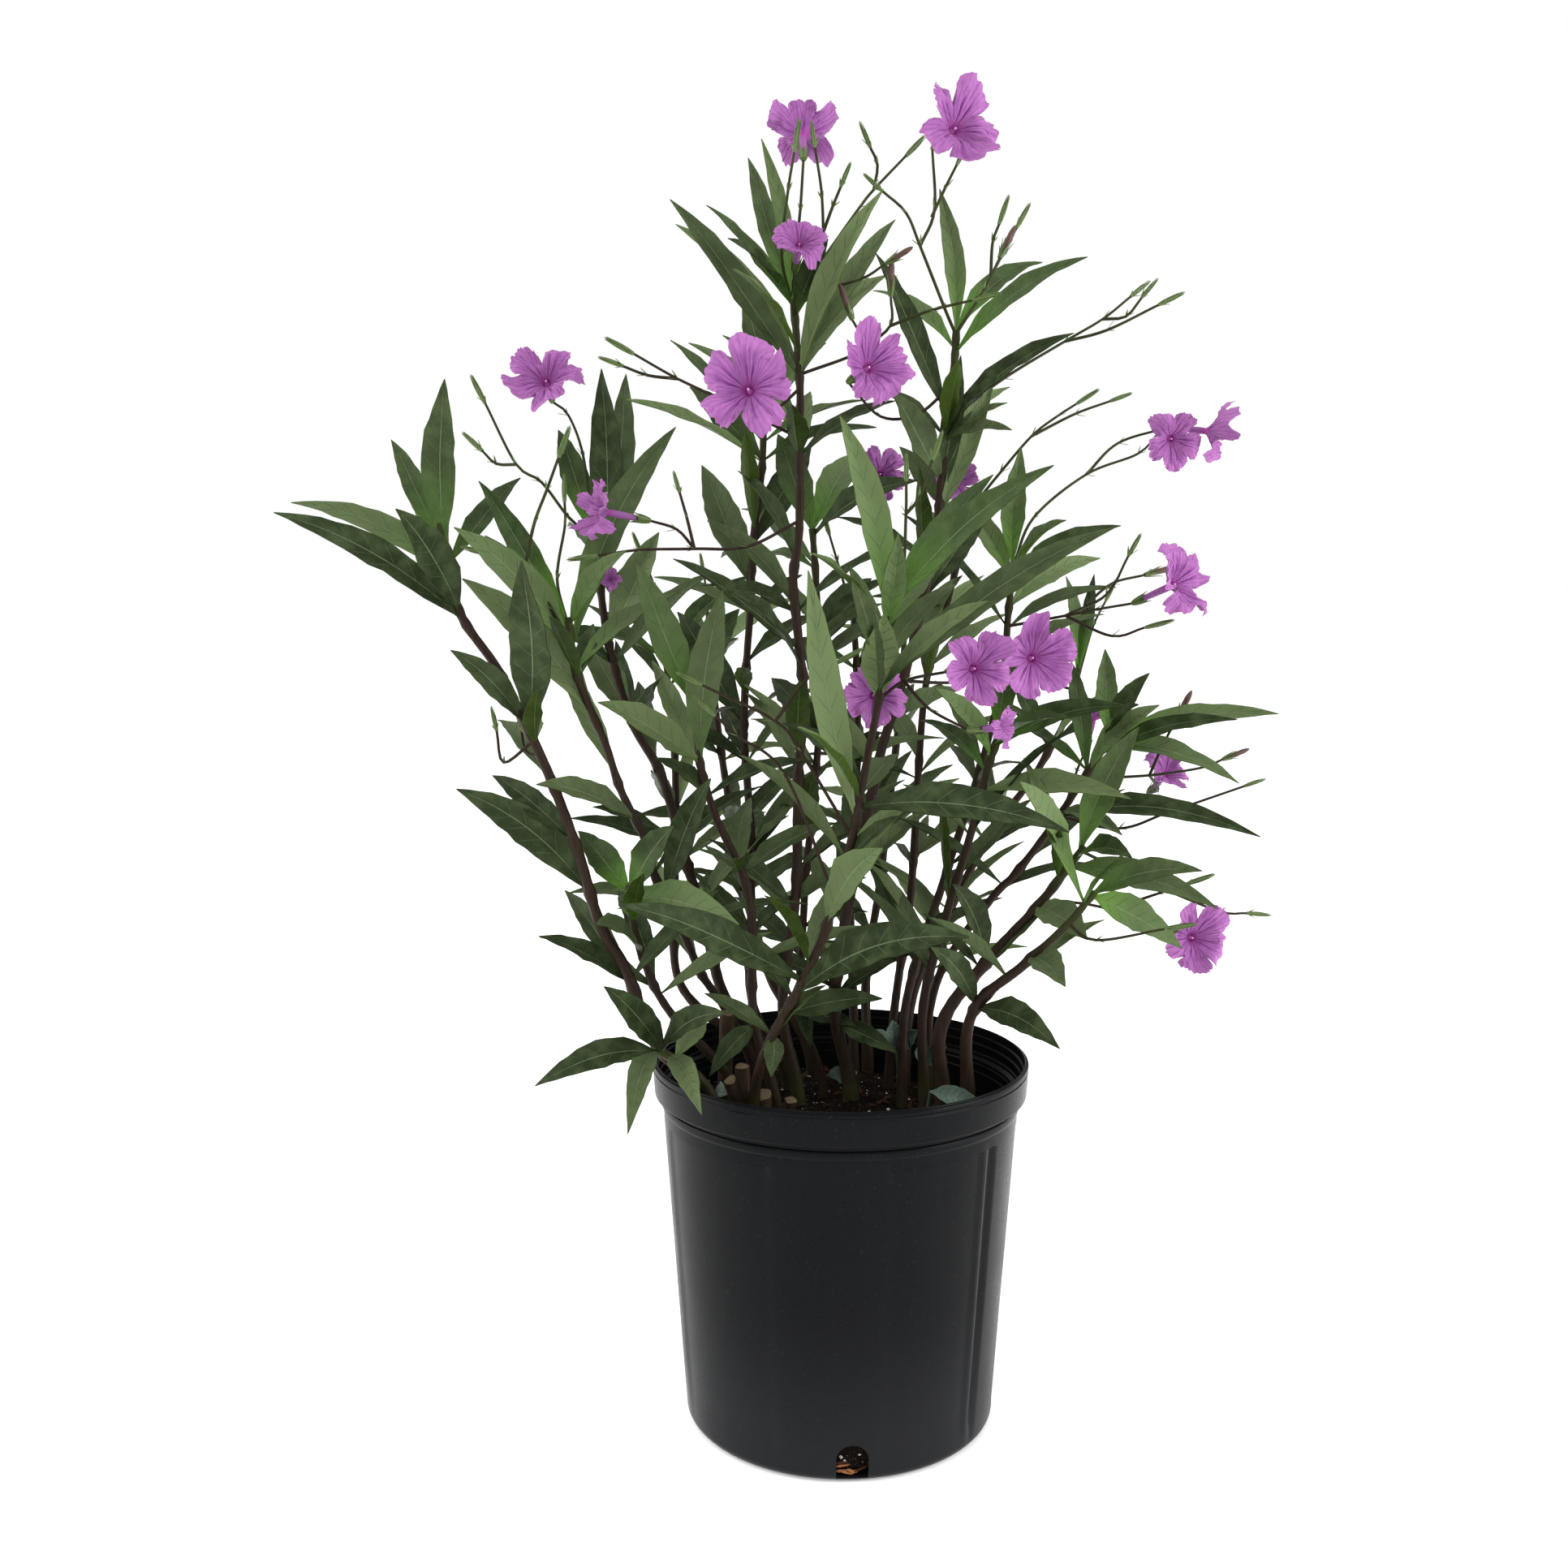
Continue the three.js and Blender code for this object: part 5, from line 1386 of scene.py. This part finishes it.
# %% [markdown]
# The CAD moved some leaf tips a little, so that no two leaves touch. Each tip is a corner of the CAD's
# mesh, so the frame itself says where it went: every move that the CAD may have made is tried until
# one lands on a corner. A leaf whose tip is nowhere was left out, and isn't made here either.

# %% Where each leaf's tip is
HAND_FACING, PAIR_FACING = Vector((0, -0.85, 0.55)), Vector((0, -0.5, 0.85))
LARGE_FROM, WIDENING, ROOT_DEPTH = 18, 1.28, 0.6
TIP_MATCH = 0.05
BACK_FROM, TOWARDS_FRONT = 60, -0.3
YOUNG_OVER = 50


def tip_moves(depths, sways):
    return [Vector((sway, depth, lift)) for sway in sways for lift in sways for depth in depths]


HAND_MOVES = tip_moves((0, -14, 14, -28, 28, -42, 42), (0, -9, 9))
PAIR_MOVES = tip_moves((0, -18, 18, -36, 36), (0, -18, 18))


def corners_of(node):
    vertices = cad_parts[node].data.vertices
    tree = KDTree(len(vertices))
    for i, vertex in enumerate(vertices):
        tree.insert(vertex.co / MM, i)
    tree.balance()
    return tree


def found_tip(corners, tip, moves):
    return next((tip + move for move in moves if corners.find(tip + move)[2] < TIP_MATCH), None)


def root_opposite(axis, tip):
    """A leaf's root, a little past the stem's axis on the side away from the leaf."""
    out = tip - axis
    out.z = 0
    return axis - out.normalized() * ROOT_DEPTH


def reach_of(length, rise, angle):
    """The way from a leaf's root to its tip."""
    out = length * math.cos(rise)
    return Vector((out * math.cos(angle), out * math.sin(angle), length * math.sin(rise)))


def edge_waves(draw):
    return [2 * draw() - 1 for _ in range(8)]


def hand_leaves(stem, line, draw):
    """The leaves listed one by one, in the CAD's order of draws."""
    for height, *tip, width in stem.leaves:
        tip = Vector(tip)
        root = root_opposite(at_height(line, height + 4 * (draw() - 0.5)), tip)
        rings = LARGE_RINGS if width > LARGE_FROM else SMALL_RINGS
        yield root, tip, width * WIDENING, HAND_FACING, edge_waves(draw), rings


def paired_leaves(stem, line, draw):
    """The leaves that a rule places in opposite pairs, in the CAD's order of draws."""
    at_back = stem.foot[1] > BACK_FROM
    heading = 2 * math.pi * draw()
    for height in range(PAIRS_FROM, math.ceil(line[-1].z - TOP_CLEAR), PAIRS_APART):
        heading += math.pi / 2 + 0.3 * (draw() - 0.5)
        for angle in (heading, heading + math.pi):
            length, rise, waves = 78 + 34 * draw(), 0.25 + 0.55 * draw(), edge_waves(draw)
            if not at_back and math.sin(angle) < TOWARDS_FRONT:
                continue
            axis = at_height(line, height + 6 * draw())
            tip = axis + reach_of(length, rise, angle)
            yield root_opposite(axis, tip), tip, 16 + 3 * draw(), PAIR_FACING, waves, SMALL_RINGS


def youth(line, height):
    """How near a leaf's root is to the top of its stem."""
    return max(0, 1 - (line[-1].z - height) / YOUNG_OVER)


leaves = {}
counts = {"hand": 0, "pairs": 0, "left out": 0, "small": 0}
looks = draws_from(97)
for i, (name, stem) in enumerate(STEMS.items()):
    line = cad_line(stem)
    corners = corners_of("stem_" + name)
    leaves[name] = []
    for kind, rows, moves in (
        ("hand", hand_leaves(stem, line, draws_from(500 + i)), HAND_MOVES),
        ("pairs", paired_leaves(stem, line, draws_from(900 + i)), PAIR_MOVES),
    ):
        for root, tip, *how in rows:
            tip = found_tip(corners, tip, moves)
            tone, twist, fresh = looks(), 0.9 * (looks() - 0.5), looks()
            counts["left out" if tip is None else kind] += 1
            if tip is not None:
                young = 0 if name == "rim_shoot" else youth(line, root.z) * (0.35 + 0.55 * fresh)
                made = lay_leaf(root, tip, *how, tone, young, twist, SLENDER.get(name, 1.0))
                leaves[name].append(made)
print(counts)

# %% [markdown]
# The real plant has more small leaves than the CAD can hold. They grow in pairs between the CAD's, and
# shorter, so that the outline stays. They are longer and narrower on the right, and sparse on the
# stems that stand bare in the photograph. One is left out where it would reach past the CAD's box,
# hang down to the rim, touch a bloom, or stand between the camera and a bloom.

# %% Small leaves in between
SMALL_APART, SMALL_LOWEST, ABOVE_RIM, BLOOM_CLEAR = 58, 300, 8, 6
SPARSE_APART = {
    "rim_left": 150, "left_bend": 150, "left_tall": 130, "left_back": 90, "tall_centre": 90,
    "tall_right": 90, "right_reach": 110, "right_upper": 110,
}
LONGER_ON_RIGHT, NARROWER_ON_RIGHT = 1.2, 0.72
CAMERA_AT = Vector(CAMERA_PLACE) / MM


def in_the_way(points):
    """True where a leaf would leave the CAD's box, hang to the rim, touch a bloom or hide one."""
    low, high = (Vector(corner) / MM for corner in cad_box)
    for point in points:
        if any(not low[k] < point[k] < high[k] for k in range(3)) or point.z < TALL + ABOVE_RIM:
            return True
        for bloom in BLOOMS.values():
            mouth = Vector(bloom.mouth)
            if (point - mouth).length < bloom.radius + BLOOM_CLEAR:
                return True
            sight = mouth - CAMERA_AT
            share = (point - CAMERA_AT).dot(sight) / sight.length_squared
            if share < 1 and (CAMERA_AT + share * sight - point).length < bloom.radius:
                return True
    return False


for i, (name, stem) in enumerate(STEMS.items()):
    draw = draws_from(1300 + i)
    line = cad_line(stem)
    longer, narrower = (LONGER_ON_RIGHT, NARROWER_ON_RIGHT) if name.startswith("right") else (1, 1)
    heading = 2 * math.pi * draw()
    leaf_gap = SPARSE_APART.get(name, SMALL_APART)
    height = SMALL_LOWEST + leaf_gap * draw()
    while height < line[-1].z - 4:
        heading += math.pi / 2 + 0.5 * (draw() - 0.5)
        for angle in (heading, heading + math.pi):
            long, rise = (46 + 56 * draw() ** 1.3) * longer, 0.15 + 0.8 * draw()
            width, axis = (12 + 8 * draw()) * narrower, at_height(line, height + 5 * draw())
            waves, tone, twist, fresh = edge_waves(draw), draw(), 1.2 * (draw() - 0.5), draw()
            reach = reach_of(long, rise, angle)
            if in_the_way([axis + reach * share for share in (0.35, 0.7, 1)]):
                continue
            counts["small"] += 1
            young = youth(line, axis.z) * (0.3 + 0.5 * fresh)
            made = lay_leaf(axis, axis + reach, width, PAIR_FACING, waves, SMALL_RINGS, tone, young, twist)
            leaves[name].append(made)
        height += leaf_gap * (0.75 + 0.5 * draw())
print(counts)

# %% [markdown]
# A few leaves in the photograph stand in front of a bloom or hang into the pot. Each is listed one
# by one, like the CAD's: the height of its root on the stem, its tip, its width and its tone.

# %% Leaves in front of blooms and in the pot
EXTRA_TWIST = 0.2
EXTRA_LEAVES = {
    "front": [[527, 22, -126, 583, 21, 0.95], [303, -49, -90, 275, 12, 0.35]],
    "tall_centre": [[296, 29, -24, 312, 16, 0.3]],
    "tall_right": [
        [655, 78, -30, 754, 13, 0.3], [645, 101, -30, 739, 12, 0.9], [288, 40, -20, 271, 13, 0.1],
    ],
    "second_centre": [
        [636, 50, -22, 672, 18, 0.2], [300, -21, 5, 268, 10, 0.3], [290, 12, -14, 289, 11, 0.15],
    ],
    "mid_left": [[296, -92, -52, 264, 14, 0.15]],
}


def extra_leaf(root, tip, width, waves, tone):
    return lay_leaf(root, tip, width, HAND_FACING, waves, SMALL_RINGS, tone, 0, EXTRA_TWIST)


for name, rows in EXTRA_LEAVES.items():
    line = cad_line(STEMS[name])
    for height, *tip, width, tone in rows:
        root = root_opposite(at_height(line, height), Vector(tip))
        leaves[name].append(extra_leaf(root, tip, width * WIDENING, edge_waves(draw), tone))
print("extra leaves:", sum(len(rows) for rows in EXTRA_LEAVES.values()))

# %% [markdown]
# Small weeds with rounder, blue-green leaves grow in the pot. Each has its foot in the soil, the top of
# its stalk, and its leaves' tips.

# %% Weeds
WEEDS = [
    [(44, 26, 222), (42, 20, 262), [(18, 10, 279), (39, 20, 285), (57, 6, 281), (50, 4, 268)]],
    [(62, 30, 222), (60, 18, 251), [(78, 10, 268), (66, 26, 265)]],
    [(-88, -20, 226), (-90, -28, 244), [(-104, -40, 250), (-80, -42, 248)]],
    [(6, 44, 222), (4, 40, 234), [(-8, 30, 240), (14, 32, 242)]],
    [(56, -52, 220), (60, -54, 254), [(98, -66, 246)]],
]
WEED_WIDTH, WEED_THICK, WEED_STALK = 15, 0.5, 0.7
weed_green = leaf_finish("weed_leaf", "3a4b40", "76897c", "76897c", "93a598", 0.6, -1)
weed_leaves, weed_rods = [], []
for foot, top, tips in WEEDS:
    line = smooth_line([foot, top])
    weed_rods.append((line, [WEED_STALK] * len(line), 0))
    for tip in tips:
        made = extra_leaf(top, tip, WEED_WIDTH, edge_waves(draw), draw())
        made.data.materials[0] = made.data.materials[1] = weed_green
        weed_leaves.append(made)
weed_stalks = rods_piece("weed_stalks", weed_rods, [weed_green], 1)


def thickened(name, sheets, thick, **settings):
    """Leaves joined under a name, with their thickness."""
    made = joined(name, sheets)
    apply_modifier(made, "SOLIDIFY", thickness=thick * MM, offset=0, use_even_offset=False, **settings)
    smooth(made, 50)
    return made


weeds = thickened("weed_leaves", weed_leaves, WEED_THICK)
print("weeds:", len(WEEDS), "leaves:", len(weed_leaves))

# %% Leaves of each stem, given their thickness
LEAF_THICK = 0.6
faces = {"material_offset": 1, "material_offset_rim": 0}
leaves = {name: thickened("leaves_" + name, laid, LEAF_THICK, **faces) for name, laid in leaves.items()}
remove(leaf)
print("leaf faces in all:", sum(len(made.data.polygons) for made in leaves.values()))

# %% [markdown]
# ## Blooms
# A bloom is one thin sheet: a slim tube that opens into a funnel with five broad lobes. Each lobe is
# notched off, tilted, twisted and crumpled in its own way, with two folds that run to the throat. It
# starts as a grid whose one side goes round and whose other side goes from the tube's foot to the
# lobes' edge. Mapping the grid in code gives each bloom its own lobes.

# %% Petal finish
FOLD_AT, FINE_VEINS, ASTRAY = 0.3, 45, 0.016
petal, tree, shader = start_finish("violet_petal", Roughness=0.6, Specular_IOR_Level=0.12, Sheen_Weight=0.06)
around, outward = sheet_parts(tree)
wander = times(maths("SUBTRACT", grain(tree, 300, 3), 0.5), ASTRAY)
astray = plus(around, times(wander, outward))
from_middle = apart(maths("FRACT", times(astray, 5)), 0.5)
# painted shade: the lobes are darker along their two folds, as shade in the creases
fold_shade_line = fade(apart(from_middle, FOLD_AT / 2), 0.0, 0.05, 1, 0)
fan = apart(maths("FRACT", times(astray, FINE_VEINS)), 0.5)
fine_vein = fade(fan, 0.0, 0.22, 1, 0)
fine = times(fine_vein, fade(outward, 0.5, 0.95, 0.3, 0.05))
fold = times(fold_shade_line, fade(outward, 0.62, 0.9, 1, 0))
fold = times(fold, fade(grain(tree, 45, 1), 0.44, 0.6, 0.15, 1))
limb = mix(grain(tree, 120, 4), "7d4084", "af6caf")
limb = mix(fade(outward, 0.6, 1.0, 0, 0.4), limb, "b073af")
limb = mix(fine, limb, "8a4497")
# the painted crease shade along the folds, towards the throat
limb = mix(fold, limb, "662678")
limb = mix(fade(outward, 0.4, 0.56, 0.8, 0), limb, "b243a4")
tube = mix(fine_vein, "a566a8", "7b3d84")
feed(shader, Base_Color=mix(fade(outward, 0.28, 0.4, 1, 0), limb, tube))
bumps(shader, plus(times(fine_vein, -0.3), grain(tree, 150, 4)), 0.0013)
pale = two_tone("pale_pistil", "c27fb6", "e0b4d6", (900, 2), Roughness=0.5)
magenta = two_tone("magenta_throat", "8a2f86", "b0479f", (700, 2), Roughness=0.6)
print("petal finished")

# %% A bloom from a grid
BLOOM_ROUND, BLOOM_OUT, PETAL_THICK = 150, 20, 0.3
# The CAD's lobes lift at four places each, by these shares of the radius and a draw.
LOBE_LIFT, LOBE_WAVE, RIM_PLACES = [0.03, 0.06, 0.02, 0.06], 0.2, 20
THROAT_SHARE, LONGEST_LOBE = 0.4, 0.96
# The funnel's height at each distance out, both as shares of the radius.
FUNNEL = [
    (0.08, -0.44), (0.14, -0.34), (0.25, -0.245), (0.4, -0.155), (0.6, -0.07), (0.8, -0.015),
    (1, 0), (1.3, 0),
]
FOLD_DEEP, FOLD_WIDE = 0.07, 0.07
CRUMPLE, FINE_CRUMPLE, FRILLED = 0.34, 0.11, 0.18


def lobe_draws(draw):
    """What makes one lobe its own. The notch is the one before it, and a low square rounds its end."""
    return {
        "long": 0.84 + 0.17 * draw(),
        "lean": 1.1 * (draw() - 0.5),
        "twist": 0.85 * (draw() - 0.5),
        "lap": -0.1 + 0.3 * draw(),
        "slant": 0.3 * (draw() - 0.5),
        "notch": 0.4 + 0.26 * draw(),
        "dent": 0.07 * draw(),
        "square": 2.3 + 2.4 * draw(),
    }


def bump_at(distance, width):
    """1 in the middle, falling to 0 as a bell does."""
    return math.exp(-((distance / width) ** 2))


def make_petals(name, bloom, seed):
    draw = draws_from(seed)
    radius, tube, way = bloom.radius, bloom.tube, facing_of(bloom)
    across = (Vector((1, 0, 0)) if abs(way.z) > 0.9 else UP).cross(way).normalized()
    over = way.cross(across)
    waves = [(draw() - 0.5) * LOBE_WAVE for _ in range(RIM_PLACES)]
    lifts = [LOBE_LIFT[i % 4] + (0 if i % 4 == 2 else wave) for i, wave in enumerate(waves)]
    lobes = [lobe_draws(draw) for _ in range(5)]
    start, start_height = FUNNEL[0]
    throat = start * radius, start_height * radius
    shares = [0, 0.04, 0.2, 0.32, THROAT_SHARE]
    tube_out = [0, 1.8, 2.2, 2.3, throat[0]]
    tube_height = [-tube, -tube, -0.72 * tube, -0.62 * radius, throat[1]]
    made = narrowed_grid(name, BLOOM_ROUND, BLOOM_OUT)
    placed = points_of(made)
    for i, (x, share, _) in enumerate(placed.tolist()):
        round_share = x + 0.5
        which = min(4, int(round_share * 5))
        t = 2 * (round_share * 5 - which) - 1
        lobe, after = lobes[which], lobes[(which + 1) % 5]
        angle = math.radians(bloom.turn) + math.pi / 5 + 2 * math.pi * round_share
        if share <= THROAT_SHARE:
            out, height = (float(np.interp(share, shares, row)) for row in (tube_out, tube_height))
        else:
            limb = (share - THROAT_SHARE) / (1 - THROAT_SHARE)
            notch = lobe["notch"] if t < 0 else after["notch"]
            leaning = t + lobe["slant"] * (1 - t * t)
            edge = notch + (lobe["long"] - notch) * max(0, 1 - abs(leaning) ** lobe["square"]) ** 0.8
            edge -= lobe["dent"] * bump_at(leaning - 0.1, 0.14)
            rim = Vector((round_share * 30, 0.3, seed))
            edge += (0.12 * noise.noise(rim * 0.5) + 0.06 * noise.noise(rim * 3.3)) * (1 - t**8)
            edge = min(edge, LONGEST_LOBE) + 0.035 * noise.noise(rim * 9)
            reach = start + (edge - start) * limb**1.15
            free = min(1, max(0, (reach - notch) / (1 - notch)))
            height = float(between(reach, FUNNEL))
            place = (2 + RIM_PLACES * round_share) % RIM_PLACES
            low = int(place)
            lift = lifts[low] * (1 - place + low) + lifts[(low + 1) % RIM_PLACES] * (place - low)
            height += lift * limb**2.5 + free * (lobe["lean"] * free + lobe["twist"] * t)
            fold = bump_at(abs(t) - FOLD_AT, FOLD_WIDE) * math.sin(math.pi * min(1, 1.25 * limb))
            height -= FOLD_DEEP * fold
            x, y = reach * math.cos(angle), reach * math.sin(angle)
            crumple = noise.noise(Vector((x * 2.1, y * 2.1, seed * 7.7)))
            fine = noise.noise(Vector((x * 8, y * 8, seed * 3.1)))
            frill = noise.noise(Vector((round_share * 24, 2, seed)))
            height += CRUMPLE * crumple * limb**1.5 + FINE_CRUMPLE * fine * limb + FRILLED * frill * free**2
            angle += math.pi / 5 * lobe["lap"] * t * free
            out, height = reach * radius, height * radius
        sideways = across * (out * math.cos(angle)) + over * (out * math.sin(angle))
        placed[i] = Vector(bloom.mouth) + sideways + way * height
    set_points(made, placed)
    bpy.ops.object.mode_set(mode="EDIT")
    bpy.ops.mesh.select_all(action="SELECT")
    bpy.ops.mesh.remove_doubles(threshold=0.01 * MM)
    bpy.ops.mesh.normals_make_consistent(inside=False)
    bpy.ops.object.mode_set(mode="OBJECT")
    made.data.materials.append(petal)
    apply_modifier(made, "SOLIDIFY", thickness=PETAL_THICK * MM, offset=0)
    smooth(made, 60)
    return made


THROAT_PROFILE = [(0, -15), (1.9, -15), (2.1, -12.2), (1.3, -11.2), (0, -10.9)]
PISTIL_PROFILE = [(0, -11), (0.4, -11), (0.3, -9.4), (0.7, -8.8), (0.8, -8.0), (0.5, -7.2), (0, -7)]
PISTIL_FITS = 26
inside_bloom = []
for name, profile, finish in (("throat", THROAT_PROFILE, magenta), ("pistil", PISTIL_PROFILE, pale)):
    made = turned(name, profile, 10)
    made.data.materials.append(finish)
    smooth(made, 60)
    inside_bloom.append(made)
pistil = joined("pistil_pattern", inside_bloom)
petals = {}
for i, (name, bloom) in enumerate(BLOOMS.items()):
    sheet = make_petals(name.replace("bloom", "petals"), bloom, 40 + i)
    size = bloom.radius / PISTIL_FITS
    middle = copy_of(pistil, placing(bloom.mouth, facing_of(bloom), (size, size, size)))
    petals[name] = joined(sheet.name, [sheet, middle])
remove(pistil)
print("blooms:", len(petals), "faces of one:", len(petals["bloom_01"].data.polygons))

# %% [markdown]
# ## On the body
# Every piece rides on the part's one body, and the CAD nodes that it stands for are hidden.

# %% Pieces and nodes


def hand_in(piece, slot, *nodes):
    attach(piece, "root")
    if nodes:
        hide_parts(*nodes)


hand_in(pot, "pot_plastic", "pot")
hand_in(soil, "potting_soil", "soil")
for piece in (perlite, bark, stump_piece):
    hand_in(piece, "potting_soil")
for piece in (weeds, weed_stalks):
    hand_in(piece, "foliage")
for name in STEMS:
    for pieces in (rods, leaves, heads):
        if name in pieces:
            hand_in(pieces[name], "foliage", "stem_" + name)
for name, made in petals.items():
    hand_in(made, "petal", name)
